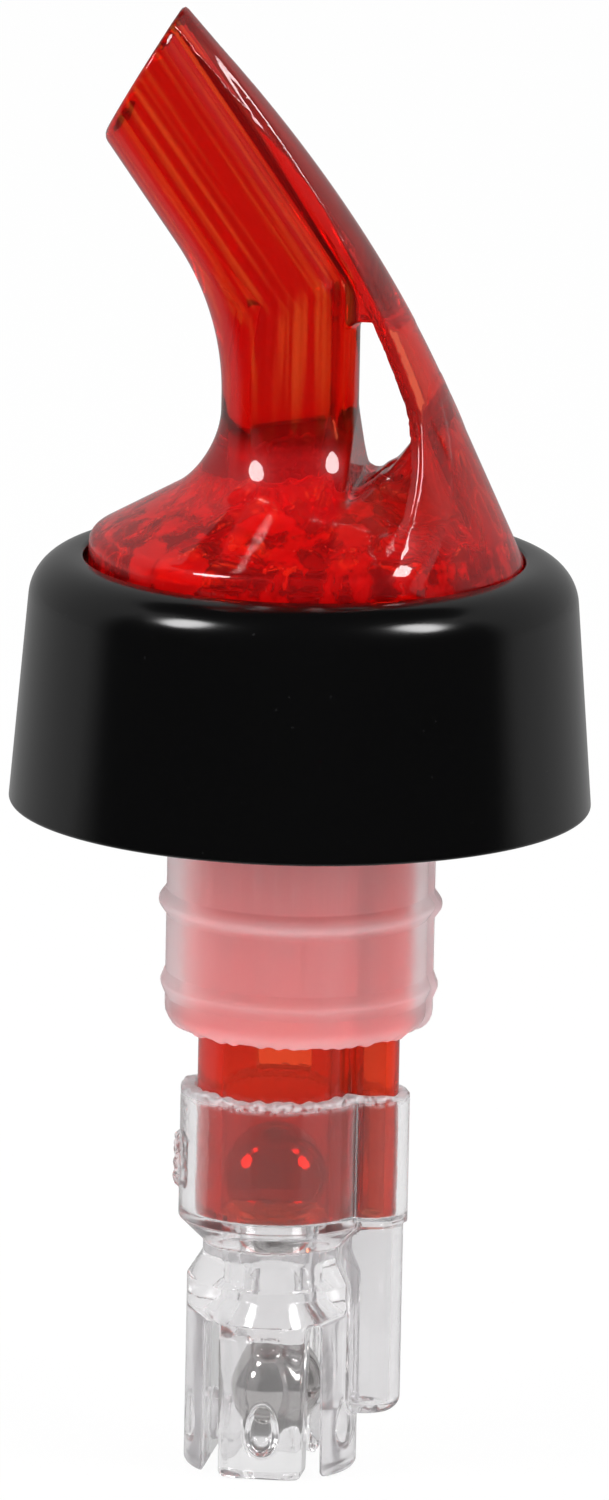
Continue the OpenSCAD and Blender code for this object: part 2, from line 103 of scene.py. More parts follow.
class SpoutSizes(bpy.types.PropertyGroup):
    """Sizes of the clear red spout."""

    step: length("Mesh step", "Distance between the points of the spout's surface", 0.335 * MM)
    tube_step: length("Tube step", "Distance between the points down the chamber tube", 0.9 * MM)
    tube_radius: length("Pouring tube radius", "Radius of the pouring tube", 5.3 * MM)
    bend_radius: length("Bend radius", "Radius of the bend at the tube's axis", 25.5 * MM)
    bend_angle: angle("Bend angle", "Lean of the pouring tube's upper stretch", 35.5)
    bend_z: length("Bend height", "Height at which the pouring tube starts to bend", 18.6 * MM)
    mouth_reach: length("Mouth reach", "Leaning length from the bend to the middle of the mouth", 12.3 * MM)
    mouth_tilt: angle("Mouth tilt", "Tilt of the mouth's face from level", 60)
    bore_radius: length("Bore radius", "Radius of the spout's upright bore", 3.0 * MM)
    mouth_bore_radius: length("Mouth bore radius", "Radius of the spout's leaning bore", 3.2 * MM)
    flange_z0: length("Flange underside", "Height of the flange's underside", 4.0 * MM)
    rim_z: length("Rim height", "Height of the upright rim", 7.2 * MM)
    rim_round: length("Rim rounding", "Rounding of the rim's upper edge", 0.5 * MM)
    flange_slope: angle("Flange slope", "Slope of the flange's upper face from level", 29.5)
    bell_radius: length("Bell radius", "Radius of the bell's hollow curve", 8.0 * MM)
    boss_radius: length("Boss radius", "Radius of the boss under the flange", 8.9 * MM)
    hollow_wall: length("Hollow wall", "Wall of the rim beside the hollow under the flange", 1.45 * MM)
    hollow_roof: length("Hollow roof", "Thickness of the roof over the hollow", 1.1 * MM)
    hollow_core: length("Hollow core", "Radius that the hollow leaves round the bore", 5.6 * MM)
    hollow_ripple: length("Hollow ripple", "Height of the ripples under the roof", 0.25 * MM)
    shield_thickness: length("Shield thickness", "Thickness of the back shield", 1.3 * MM)
    shield_lean: angle("Shield lean", "Lean of the shield's lower stretch", 24.6)
    shield_straight: length("Shield foot height", "Height of the shield's straight foot", 11.8 * MM)
    foot_angle: angle("Foot angle", "Half angle that the shield's foot takes round the rim", 62)
    foot_flare: share("Foot flare", "Power by which the shield's foot flares", 1.3)
    foot_blend: length("Foot fillet", "Fillet between the shield's foot and the flange", 2.0 * MM)
    knee_half_width: length("Knee half width", "Half width of the shield above its foot", 5.7 * MM)
    tip_half_width: length("Tip half width", "Half width of the shield at its tip", 0.8 * MM)
    foot_inset: length("Foot inset", "Inset of the shield's foot from the rim", 0.35 * MM)
    gap_z: length("Gap floor", "Height of the vent gap's floor beside the pouring tube", 11.5 * MM)
    gap_top: length("Gap top", "Height of the vent gap's upper end", 25.0 * MM)
    gap_rise: share("Gap rise", "Slope of the vent gap's floor beside the pouring tube", 0.35)
    gap_curve: length("Gap curve", "Length over which the floor's slope grows by two", 7.1 * MM)
    gap_round: length("Gap rounding", "Rounding of the vent gap's lower corner", 0.8 * MM)
    web_width: length("Web width", "Width of the web under the vent gap", 8.0 * MM)
    crest_width: length("Crest width", "Width of the web above the vent gap", 5.0 * MM)
    chamber_radius: length("Chamber radius", "Radius of the ball's chamber", 4.2 * MM)
    chamber_wall: length("Chamber wall", "Wall of the tube round the chamber", 1.95 * MM)
    chamber_top: length("Chamber top", "Height at which the cut-off seat starts", 2.5 * MM)
    seat_angle: angle("Seat angle", "Slope of the conical seats from the axis", 30)
    breather_pitch: length("Breather pitch", "Distance from the tube's axis to the breather's", 7.3 * MM)
    breather_radius: length("Breather radius", "Radius of the breather pipe", 2.2 * MM)
    breather_bore: length("Breather bore", "Radius of the breather's bore", 1.2 * MM)
    inlet_width: length("Inlet width", "Width of the inlet window", 5.0 * MM)
    inlet_height: length("Inlet height", "Height of the inlet window", 4.2 * MM)
    edge: length("Edge rounding", "Rounding of the moulding's edges", 0.32 * MM)
    blend: length("Fillet", "Fillet between the shield and what it joins", 0.9 * MM)


class CollarSizes(bpy.types.PropertyGroup):
    """Sizes of the black collar."""

    around: IntProperty(name="Steps around", description="Points round the collar", default=256)
    wall: length("Wall", "Wall of the skirt", 1.9 * MM)
    shoulder: length("Shoulder", "Radius of the shoulder", 4.3 * MM)
    opening: length("Opening", "Radius of the opening round the spout's flange", 17.0 * MM)
    hole: length("Web hole", "Radius of the hole in the inner web", 9.25 * MM)
    web_z0: length("Web underside", "Height of the inner web's underside", 2.2 * MM)
    web_z1: length("Web top", "Height of the inner web's upper face", 3.8 * MM)
    edge: length("Edge rounding", "Rounding of the collar's edges", 0.35 * MM)


class StopperSizes(bpy.types.PropertyGroup):
    """Sizes of the ribbed stopper."""

    around: IntProperty(name="Steps around", description="Points round the stopper", default=288)
    wall_radius: length("Body radius", "Radius of the stopper's body", 10.15 * MM)
    foot_round: length("Foot rounding", "Rounding of the lower edge", 1.5 * MM)
    flange_z0: length("Flange underside", "Height of the flange's underside", 0.0)
    rib_count: IntProperty(name="Ribs", description="Number of ribs", default=4)
    rib_low: length("Lowest rib", "Height of the lowest rib", -27.6 * MM)
    rib_pitch: length("Rib pitch", "Distance between ribs", 6.4 * MM)
    rib_radius: length("Lowest rib radius", "Radius of the lowest rib", 10.55 * MM)
    rib_step: length("Rib step", "Growth of the radius from rib to rib", 0.3 * MM)
    rib_height: length("Rib height", "Height of a rib along the stopper", 2.0 * MM)
    push_gap: length("Push gap", "Gap between the stopper's bore and the tube", 0.05 * MM)
    half_shift: length("Mould shift", "Shift of the back mould half towards the shield", 0.45 * MM)
    fray: length("Fray", "Height of the frayed flash on the lower edge", 0.14 * MM)


class TailSizes(bpy.types.PropertyGroup):
    """Sizes of the clear tail cage."""

    step: length("Mesh step", "Distance between the points of the tail's surface", 0.2 * MM)
    push_gap: length("Push gap", "Gap between the cup and the tube", 0.05 * MM)
    cup_z0: length("Cup underside", "Height of the cup's lower edge", -46.2 * MM)
    column_wall: length("Column wall", "Wall of the side column beside the cup", 0.82 * MM)
    column_radius: length("Column radius", "Radius of the side column below the cup", 2.75 * MM)
    column_bore: length("Column bore", "Radius of the side column's bore", 1.9 * MM)
    column_z0: length("Column end", "Height of the side column's lower end", -61.3 * MM)
    air_hole: length("Air hole", "Radius of the air hole in the column's end", 0.6 * MM)
    passage: length("Passage", "Radius of the bleed passage", 2.6 * MM)
    waist_radius: length("Waist radius", "Radius of the waist", 5.5 * MM)
    waist_z1: length("Waist top", "Height of the waist's upper edge", -48.1 * MM)
    waist_z0: length("Waist bottom", "Height of the waist's lower edge", -49.1 * MM)
    barrel_radius: length("Barrel radius", "Radius of the barrel", 6.68 * MM)
    barrel_z1: length("Barrel top", "Height of the barrel's upper edge", -51.0 * MM)
    cage_radius: length("Cage radius", "Radius of the room round the check ball", 4.3 * MM)
    check_lift: length("Check lift", "Lift of the check ball to its seat", 3.5 * MM)
    slot_z1: length("Slot top", "Height of the slots' upper ends", -53.8 * MM)
    prong_half_width: length("Prong half width", "Half width of the front and back prongs", 3.4 * MM)
    slot_width: length("Slot width", "Width of the slots at their upper ends", 1.0 * MM)
    slot_spread: length("Slot spread", "Growth of the slots' width down to the ends", 0.3 * MM)
    prong_flat: length("Prong flat", "Depth of the flats on the front and back prongs", 0.45 * MM)
    nub_radius: length("Nub radius", "Radius of the nubs inside the prongs", 1.35 * MM)
    nub_ring: length("Nub ring", "Distance of the nubs from the cage's axis", 4.377 * MM)
    nub_drop: length("Nub drop", "Depth of the nubs below the check ball", 3.2 * MM)
    rim_wave: length("Rim wave", "Height of the waves in the cut rim", 0.3 * MM)
    gate_z: length("Gate height", "Height of the middle of the torn gate on the cup's side", -42.0 * MM)
    gate_height: length("Gate length", "Length of the torn gate along the cup", 4.0 * MM)
    gate_width: length("Gate width", "Width of the torn gate", 3.2 * MM)
    gate_proud: length("Gate stub", "Height of the torn gate's stub above the cup", 0.4 * MM)
    edge: length("Edge rounding", "Rounding of the moulding's edges", 0.25 * MM)


class Finishes(bpy.types.PropertyGroup):
    """Colours and finishes of the pieces."""

    red: colour("Red tint", "Tint of the spout's surface", (0.925, 0.86, 0.85))
    red_keeps: colour("Red keeps", "Light that the red plastic lets through", (0.978, 0.36, 0.0))
    red_density: share("Red density", "Absorption of the red plastic per metre", 1900.0)
    # The red plastic's own body colour, also used as painted shade: it darkens the tube and is the dark side
    # of the hollow's painted refraction patches.
    red_body_and_shade: colour("Red body", "Colour of the pigment in the red plastic", (0.4, 0.004, 0.003))
    # Painted light: orange streaks up the tube that stand for lamp light carried through the plastic.
    red_light_streak: colour("Red streak", "Colour of the flow streaks in the red plastic", (1.0, 0.2, 0.025))
    # Painted light: a brighter orange red over the tube below the stopper.
    red_lower_lit: colour("Red lower", "Colour of the haze in the tube below the stopper", (1.0, 0.09, 0.035))
    # Painted light: a brighter red over the bell, the flange and the bell's neck.
    red_bell_lit: colour("Red bell", "Colour of the haze in the bell and the flange", (1.0, 0.008, 0.012))
    # A deeper, duller red that the dull share lays over the thin shield.
    red_shield: colour("Red shield", "Colour of the haze in the thin shield", (0.62, 0.03, 0.025))
    # Painted light: the lit side of the painted patches of refracted light and shade in the hollow under the
    # flange.
    red_hollow_lit: colour("Red inside", "Colour of the frosted hollow under the flange", (1.0, 0.04, 0.055))
    red_glint: colour("Red glint", "Colour of the glints in the hollow under the flange", (1.0, 0.6, 0.6))
    clear: colour("Clear tint", "Tint of the tail's surface", (0.985, 0.98, 0.985))
    clear_keeps: colour("Clear keeps", "Light that the clear plastic lets through", (0.62, 0.5, 0.58))
    clear_density: share("Clear density", "Absorption of the clear plastic per metre", 4.0)
    clear_veil: colour("Clear veil", "Colour of the milky veil in the clear plastic", (0.84, 0.82, 0.84))
    soft: colour("Soft tint", "Tint of the stopper's natural plastic", (0.94, 0.9, 0.912))
    # The natural plastic's milky body, tinted pink by painted red light of the tube showing through.
    soft_veil_and_tube_light: colour("Soft veil", "Colour of the milky body of the natural plastic", (0.95, 0.72, 0.75))
    # Painted light: the red of the tube showing through, painted on the stopper's bore.
    soft_bore_tube_light: colour("Soft bore", "Colour of the natural plastic against the red tube", (0.95, 0.11, 0.1))
    black: colour("Black", "Colour of the collar", (0.002, 0.002, 0.0021))
    steel: colour("Steel", "Colour of the balls", (0.5, 0.487, 0.475))
    plastic_index: share("Plastic index", "Index of refraction of the hard plastics", 1.55)
    soft_index: share("Soft index", "Index of refraction of the natural plastic's surface", 1.2)


class StageSettings(bpy.types.PropertyGroup):
    """Camera, lights and floor."""

    azimuth: angle("Azimuth", "Camera's place round the object, from -Y towards +X", 8)
    elevation: angle("Elevation", "Camera's height above level", 12.5)
    roll: angle("Roll", "Turn of the camera about its line of sight", 1.12)
    distance: length("Distance", "Camera's distance from what it looks at", 2.0)
    view_height: length("View height", "Height that the picture takes in", 115.73 * MM)
    aim_x: length("Aim across", "What the camera looks at, to the right of the axis", 0.29 * MM)
    aim_z: length("Aim height", "Height of what the camera looks at", -9.32 * MM)
    lamp_turn: angle("Lamp turn", "Turn of each soft lamp from the camera", 65)
    lamp_rise: angle("Lamp rise", "Rise of each soft lamp above level", 48)
    lamp_distance: length("Lamp distance", "Distance of each soft lamp", 0.45)
    lamp_width: length("Lamp width", "Width of each soft lamp", 0.12)
    lamp_height: length("Lamp height", "Height of each soft lamp", 0.16)
    lamp_radiance: share("Lamp radiance", "Brightness of each soft lamp, where white is 1", 16.0)
    glint_rise: angle("Glint rise", "Rise of each low lamp, which only shows through clear plastic", 18)
    glint_width: length("Glint width", "Width of each low lamp", 0.2)
    glint_radiance: share("Glint radiance", "Brightness of each low lamp, where white is 1", 14.0)
    fill_width: length("Fill width", "Width of the lamp at the camera, which only dull surfaces show", 0.5)
    fill_distance: length("Fill distance", "Distance of the fill lamp", 0.8)
    fill_radiance: share("Fill radiance", "Brightness of the fill lamp, where white is 1", 4.0)
    ambient: share("Ambient", "Level of the plain light from all round", 0.9)
    in_gloss: share("White in gloss", "Level of the white surround as a gloss shows it", 0.34)
    through_clear: share("White through clear", "Level of the white surround as clear plastic shows it", 0.86)
    floor_white: share("Floor white", "Part of the floor's look that is plain white", 0.95)
    flag_near: length("Flag start", "Distance at which the dark flag starts on the floor", 0.05)
    flag_radius: length("Flag radius", "Distance of the dark flag's upright part", 0.5)
    flag_height: length("Flag height", "Height of the dark flag", 0.9)
    flag_span: angle("Flag span", "Half angle that the dark flag takes round the front", 98)
    flag_in_gloss: share("Flag in gloss", "Level of the dark flag as a gloss shows it", 0.012)
    flag_through: share("Flag through clear", "Level of the dark flag as clear plastic shows it", 0.4)
    card_span: angle("Card span", "Half angle of the card at the camera, dark through clear plastic too", 34)
    card_through: share("Card through clear", "Level of the camera's card as clear plastic shows it", 0.25)
    ceiling_radius: length("Ceiling radius", "Radius of the dark ceiling at the flag's height", 0.7)
    floor_size: length("Floor size", "Side of the floor", 30.0)
    bounces: IntProperty(name="Bounces", description="Bounces of light inside the clear plastics", default=32)


class Wire:
    """A socket of a node tree. Arithmetic on wires adds Math nodes to the tree."""

    def __init__(self, tree, socket=None):
        self.tree = tree
        self.socket = socket

    def node(self, kind, settings=None, inputs=None, output=0):
        """Add a node of a kind, apply its settings, fill or link its inputs and give one output."""
        made = self.tree.nodes.new(kind)
        for name, value in (settings or {}).items():
            setattr(made, name, value)
        for name, value in (inputs or {}).items():
            if isinstance(value, Wire):
                self.tree.links.new(value.socket, made.inputs[name])
            else:
                made.inputs[name].default_value = value
        return Wire(self.tree, made.outputs[output])

    def sum_of(self, operation, first, second):
        """A Math node on two values."""
        return self.node("ShaderNodeMath", {"operation": operation}, {0: first, 1: second})

    def __add__(self, other):
        return self.sum_of("ADD", self, other)

    def __radd__(self, other):
        return self.sum_of("ADD", other, self)

    def __sub__(self, other):
        return self.sum_of("SUBTRACT", self, other)

    def __rsub__(self, other):
        return self.sum_of("SUBTRACT", other, self)

    def __mul__(self, other):
        return self.sum_of("MULTIPLY", self, other)

    def __rmul__(self, other):
        return self.sum_of("MULTIPLY", other, self)

    def root(self):
        """Square root."""
        return self.sum_of("SQRT", self, 0.0)

    def steps(self, low, high):
        """A smooth step from 0 at low to 1 at high."""
        ends = {0: self, 1: low, 2: high, 3: 0.0, 4: 1.0}
        return self.node("ShaderNodeMapRange", {"interpolation_type": "SMOOTHSTEP"}, ends)

    def mixed(self, first, second):
        """A colour between two colours, by this value. Each is a wire or three numbers."""
        first, second = (c if isinstance(c, Wire) else (*c, 1.0) for c in (first, second))
        return self.node("ShaderNodeMix", {"data_type": "RGBA"}, {0: self, 6: first, 7: second}, output=2)

    def shade(self, tint, level):
        """A tint that goes to a level of itself as this value goes to one."""
        return self.mixed(tint, tuple(level * c for c in tint))

    def place(self, axis):
        """One of the object's own coordinates."""
        place = self.node("ShaderNodeTexCoord", output="Object")
        return self.node("ShaderNodeSeparateXYZ", None, {0: place}, output=axis)

    def stretched_noise(self, scale, detail=3.0, turn=0.0):
        """Noise on the object's own coordinates, turned about Y, with its own scale along each axis."""
        place = self.node("ShaderNodeTexCoord", output="Object")
        place = self.node("ShaderNodeMapping", None, {"Vector": place, "Rotation": (0, turn, 0)})
        place = self.node("ShaderNodeMapping", None, {"Vector": place, "Scale": scale})
        return self.node("ShaderNodeTexNoise", None, {"Vector": place, "Scale": 1.0, "Detail": detail})

    def bump(self, distance):
        """Normals that this value raises by a distance."""
        return self.node("ShaderNodeBump", None, {"Height": self, "Distance": distance, "Strength": 1.0})


def new_material(name):
    """An empty material, with its starting wire."""
    material = bpy.data.materials.new(name)
    material.use_nodes = True
    material.node_tree.nodes.clear()
    return material, Wire(material.node_tree)


SOCKETS = {"transmission": "Transmission Weight", "index": "IOR", "metallic": "Metallic"}


def principled(wire, tint, roughness, normal, **settings):
    """A Principled surface, with the settings of its other sockets by their short names."""
    inputs = {"Base Color": tint, "Roughness": roughness, "Normal": normal}
    inputs.update({SOCKETS[name]: value for name, value in settings.items()})
    return wire.node("ShaderNodeBsdfPrincipled", None, inputs)


def blend(factor, first, second):
    """A surface between two surfaces."""
    return first.node("ShaderNodeMixShader", None, {0: factor, 1: first, 2: second})


def close(wire, shader, volume=None, kind="ShaderNodeOutputMaterial"):
    """End a node tree with a shader and, for a clear plastic, the light its volume keeps and its density."""
    out = wire.tree.nodes.new(kind)
    wire.tree.links.new(shader.socket, out.inputs["Surface"])
    if volume:
        keeps, density = volume
        inside = wire.node("ShaderNodeVolumeAbsorption", None, {"Color": (*keeps, 1.0), "Density": density})
        wire.tree.links.new(inside.socket, out.inputs["Volume"])


# Grain of each noise, in waves to a metre along X, Y and Z
LIGHT_STREAK_GRAIN = (1300, 1300, 24)
RED_FLOW = (260, 260, 110)
REFRACTION_PATCH_GRAIN = (420, 420, 360)
GLINT_GRAIN = (800, 800, 500)
CLEAR_FLOW = (400, 400, 120)
CLEAR_GRAIN = (2600, 2600, 2600)
SOFT_CLOUD = (260, 260, 180)
SOFT_DRAG = (2400, 2400, 70)
BLACK_WAVE = (120, 120, 60)
BLACK_SCRATCH = (90, 90, 4200)
BLACK_SPECK = (1700, 1700, 1700)
STEEL_POLISH = (700, 700, 700)

# Levels of a noise between which its mark appears
LIGHT_STREAK_LEVELS = (0.46, 0.64)
REFRACTION_PATCH_LEVELS = (0.42, 0.58)
GLINT_LEVELS = (0.64, 0.7)
ROUGH_LEVELS = (0.35, 0.6)
SPECK_LEVELS = (0.7, 0.78)

# Heights of the bumps in each finish
MOULD_BUMP = 0.02 * MM
CLEAR_BUMP = 0.04 * MM
STEEL_BUMP = 0.001 * MM

# Stretches over which one look of the red plastic goes over into the next
ELBOW_FADE = 2 * MM
LIGHT_STREAK_RISE = (15 * MM, 22 * MM)
SHIELD_FADE = (-0.4 * MM, 0.3 * MM)
HOLLOW_DEPTH = (0.8 * MM, 1.2 * MM)
HOLLOW_INNER = (4.4 * MM, 5.4 * MM)
HOLLOW_OUTER = (15.4 * MM, 15.9 * MM)
FLANGE_FADE = (-1 * MM, 0)
BELL_FADE = (3 * MM, 8 * MM)
NECK_FADE = (-1.5 * MM, 0)
NECK_END = (-4 * MM, -2 * MM)
TUBE_END = 4 * MM
LOWER_FADE = (0, 2 * MM)

# Share of dull plastic in each zone of the red plastic, over that in all of it. These dull colours are
# painted light and shade: streaks of light, a darker tube, a brighter bell, neck and tube below the stopper;
# the shield gets a deeper red.
RED_HAZE = 0.03
ZONE_DULL_SHARE = {"light_streak": 0.1, "tube": 0.1, "shield": 0.14, "bell": 0.09, "neck": 0.14, "lower": 0.17}


def near(value, place, fade):
    """A smooth step over a stretch that is given from a place."""
    return value.steps(place + fade[0], place + fade[1])


def red_zones(wire, spout):
    """Where each look of the red plastic shows, from 0 to 1, by name.

    The painted streaks of light turn with the tube at its elbow. The shield lies behind the tube, the hollow
    under the flange's upper face, the bell and its neck over that, and the lower stretch below the stopper.
    """
    x, y, z = (wire.place(axis) for axis in range(3))
    leaning = past_elbow(x, z, spout, spout.bend_angle / 2).steps(-ELBOW_FADE, ELBOW_FADE)
    upright = wire.stretched_noise(LIGHT_STREAK_GRAIN)
    turned_grain = wire.stretched_noise(LIGHT_STREAK_GRAIN, turn=spout.bend_angle)
    # Painted streaks of light, turned with the tube past its elbow.
    light_streak = (upright + leaning * (turned_grain - upright)).steps(*LIGHT_STREAK_LEVELS) * z.steps(*LIGHT_STREAK_RISE)
    offset = x - TUBE_X + leaning * (lean_offset(x, z, spout) - x + TUBE_X)
    shield = near(offset, spout.tube_radius, SHIELD_FADE) * z.steps(spout.rim_z, spout.gap_z)
    reach = (x * x + y * y).root()
    base = near(z, spout.flange_z0, FLANGE_FADE)
    high = near(z, spout.rim_z, BELL_FADE)
    hollow = (flange_top(reach, spout) - z).steps(*HOLLOW_DEPTH)
    hollow = hollow * reach.steps(*HOLLOW_INNER) * (1 - reach.steps(*HOLLOW_OUTER))
    neck = near(z, spout.gap_z, NECK_FADE) * (1 - near(z, spout.bend_z, NECK_END))
    tube = z.steps(spout.rim_z + BELL_FADE[0], spout.bend_z + TUBE_END)
    return {
        "light_streak": light_streak,
        "tube": tube * (1 - shield) * (1 - light_streak),
        "shield": shield,
        "bell": base * (1 - high),
        "neck": neck * (1 - shield),
        "lower": 1 - near(z, STOPPER_LOW.z, LOWER_FADE),
        "hollow": hollow * base * (1 - 0.6 * high),
    }


def red_plastic(finish, spout):
    """Clear red moulding: painted streaks of light along the tube, a duller shield, a frosted hollow with
    painted refraction patches and glints.
    """
    material, wire = new_material("red_clear_plastic")
    zones = red_zones(wire, spout)
    hollow = zones["hollow"]
    flow = wire.stretched_noise(RED_FLOW)
    refraction_patch = wire.stretched_noise(REFRACTION_PATCH_GRAIN).steps(*REFRACTION_PATCH_LEVELS)
    glint = wire.stretched_noise(GLINT_GRAIN).steps(*GLINT_LEVELS)
    normal = flow.bump(MOULD_BUMP)
    clear = principled(
        wire,
        flow.shade(finish.red, 0.97),
        0.015 + 0.03 * flow + 0.05 * hollow,
        normal,
        transmission=1.0,
        index=finish.plastic_index,
    )
    # Painted light and shade on the body: streaks of light, a brighter bell, neck and lower stretch, a darker
    # tube and a deeper red shield.
    body = zones["light_streak"].mixed(finish.red_body_and_shade, finish.red_light_streak)
    body = (zones["bell"] + zones["neck"]).mixed(body, finish.red_bell_lit)
    body = zones["shield"].mixed(body, finish.red_shield)
    body = zones["lower"].mixed(body, finish.red_lower_lit)
    # Painted light and shade in the hollow: patches of refracted light and shade, with painted glints.
    inside = glint.mixed(refraction_patch.mixed(finish.red_body_and_shade, finish.red_hollow_lit), finish.red_glint)
    dull = principled(wire, hollow.mixed(body, inside), 0.3, normal)
    amount = RED_HAZE + hollow * (0.03 + 0.57 * refraction_patch + 0.35 * glint)
    for zone, haze in ZONE_DULL_SHARE.items():
        amount = amount + haze * zones[zone]
    close(wire, blend(amount, clear, dull), (finish.red_keeps, finish.red_density))
    return material


# Stretches over which the clear plastic's rim, gate and side prongs show
CUT_RIM_FADE = (-1.2 * MM, -0.3 * MM)
GATE_FADE = (-0.1 * MM, 0.5 * MM)
PRONG_FADE = (-0.4 * MM, 0.4 * MM)


def clear_plastic(finish, tail):
    """Clear moulding with a faint milky veil, a frosty cut rim and a rough torn gate on its side."""
    material, wire = new_material("clear_plastic")
    flow = wire.stretched_noise(CLEAR_FLOW)
    grain = wire.stretched_noise(CLEAR_GRAIN)
    x, z = wire.place(0), wire.place(2)
    rim = near(z, TAIL_HIGH.z, CUT_RIM_FADE)
    gate = (1 - near(x, TAIL_LOW.x, GATE_FADE)) * z.steps(tail.gate_z - tail.gate_height, tail.gate_z)
    rough = grain.steps(*ROUGH_LEVELS) * (rim + gate)
    across = x - TUBE_X
    aside = near((across * across).root(), tail.prong_half_width, PRONG_FADE)
    below = (1 - z.steps(tail.waist_z1, tail.cup_z0)) * (0.02 + 0.06 * aside)
    normal = (flow + grain * (0.1 + rim + gate)).bump(CLEAR_BUMP)
    clear = principled(
        wire,
        flow.shade(finish.clear, 0.96),
        0.03 + 0.05 * grain + 0.3 * rim,
        normal,
        transmission=1.0,
        index=finish.plastic_index,
    )
    veil = principled(wire, grain.shade(finish.clear_veil, 0.94), 0.35, normal)
    amount = 0.005 + 0.025 * flow + below + 0.55 * rough
    close(wire, blend(amount, clear, veil), (finish.clear_keeps, finish.clear_density))
    return material


# Stretches over which the soft plastic's ribs, bore and foot show
RIB_FADE = (0.1 * MM, 0.6 * MM)
BORE_FADE = (-1.5 * MM, -1.0 * MM)
FOOT_FADE = (0.2 * MM, 1.6 * MM)


def soft_plastic(finish, stopper):
    """Natural soft plastic: milky, satin, with fine drag lines from the mould, paler ribs and painted red
    light of the tube showing through.
    """
    material, wire = new_material("natural_soft_plastic")
    cloud = wire.stretched_noise(SOFT_CLOUD)
    drag = wire.stretched_noise(SOFT_DRAG)
    x, y, z = (wire.place(axis) for axis in range(3))
    reach = (x * x + y * y).root()
    rib = near(reach, stopper.wall_radius, RIB_FADE)
    bore = 1 - near(reach, stopper.wall_radius, BORE_FADE)
    foot = 1 - near(z, STOPPER_LOW.z, FOOT_FADE)
    normal = (drag + cloud).bump(MOULD_BUMP)
    clear = principled(
        wire,
        cloud.shade(finish.soft, 0.95),
        0.42 + 0.12 * drag,
        normal,
        transmission=1.0,
        index=finish.soft_index,
    )
    # Painted red light of the tube: pink in the milky body and red on the bore.
    milky = bore.mixed(cloud.shade(finish.soft_veil_and_tube_light, 0.95), finish.soft_bore_tube_light)
    amount = 0.1 + 0.08 * cloud + 0.1 * drag + 0.2 * rib + 0.22 * foot + 0.42 * bore
    close(wire, blend(amount, clear, principled(wire, milky, 0.4, normal)))
    return material


def black_plastic(finish):
    """Polished black moulding with fine scratches and a little dust in the gloss."""
    material, wire = new_material("black_gloss_plastic")
    wave = wire.stretched_noise(BLACK_WAVE)
    scratch = wire.stretched_noise(BLACK_SCRATCH, detail=1.0)
    speck = wire.stretched_noise(BLACK_SPECK).steps(*SPECK_LEVELS)
    normal = (wave + 0.02 * scratch).bump(MOULD_BUMP)
    roughness = 0.14 + 0.05 * wave + 0.15 * speck
    close(wire, principled(wire, speck.shade(finish.black, 4), roughness, normal, index=1.5))
    return material


def ball_steel(finish):
    """Polished bearing steel with a fine grain in the polish."""
    material, wire = new_material("ball_steel")
    polish = wire.stretched_noise(STEEL_POLISH)
    tint, roughness = polish.shade(finish.steel, 0.9), 0.07 + 0.08 * polish
    close(wire, principled(wire, tint, roughness, polish.bump(STEEL_BUMP), metallic=1.0))
    return material


def fillet(a, b, radius):
    """Union of two distance fields, with a round fillet in the corner between them."""
    corner = np.hypot(np.maximum(radius - a, 0), np.maximum(radius - b, 0))
    return np.maximum(radius, np.minimum(a, b)) - corner


def blunt(a, b, radius):
    """What two distance fields share, with the edge between them rounded."""
    corner = np.hypot(np.maximum(radius + a, 0), np.maximum(radius + b, 0))
    return np.minimum(-radius, np.maximum(a, b)) + corner


def carve(a, b, radius):
    """The first distance field without the second, with the edge between them rounded."""
    return blunt(a, -b, radius)


# How the points settle on the surface: rounds, shares of the mesh's step, then least values to divide by
SETTLE_ROUNDS = 4
SETTLE_STEP = 0.05
SETTLE_REACH = 0.5
NORMAL_STEP = 0.2
LEAST_SLOPE = 0.05
TINY = 1e-9

# Corners of a grid cell, and the pairs of them that an edge joins
CORNERS = np.array(list(np.ndindex(2, 2, 2)))
EDGES = [(a, b) for a in range(8) for b in range(a, 8) if np.abs(CORNERS[a] - CORNERS[b]).sum() == 1]


def slope_of(field, points, step):
    """Slope of a field at points, from its values a step to each side along each axis."""
    shifts = step * np.eye(3)
    sides = [(field(*(points + s).T) - field(*(points - s).T)) / (2 * step) for s in shifts]
    return np.stack(sides, axis=1)


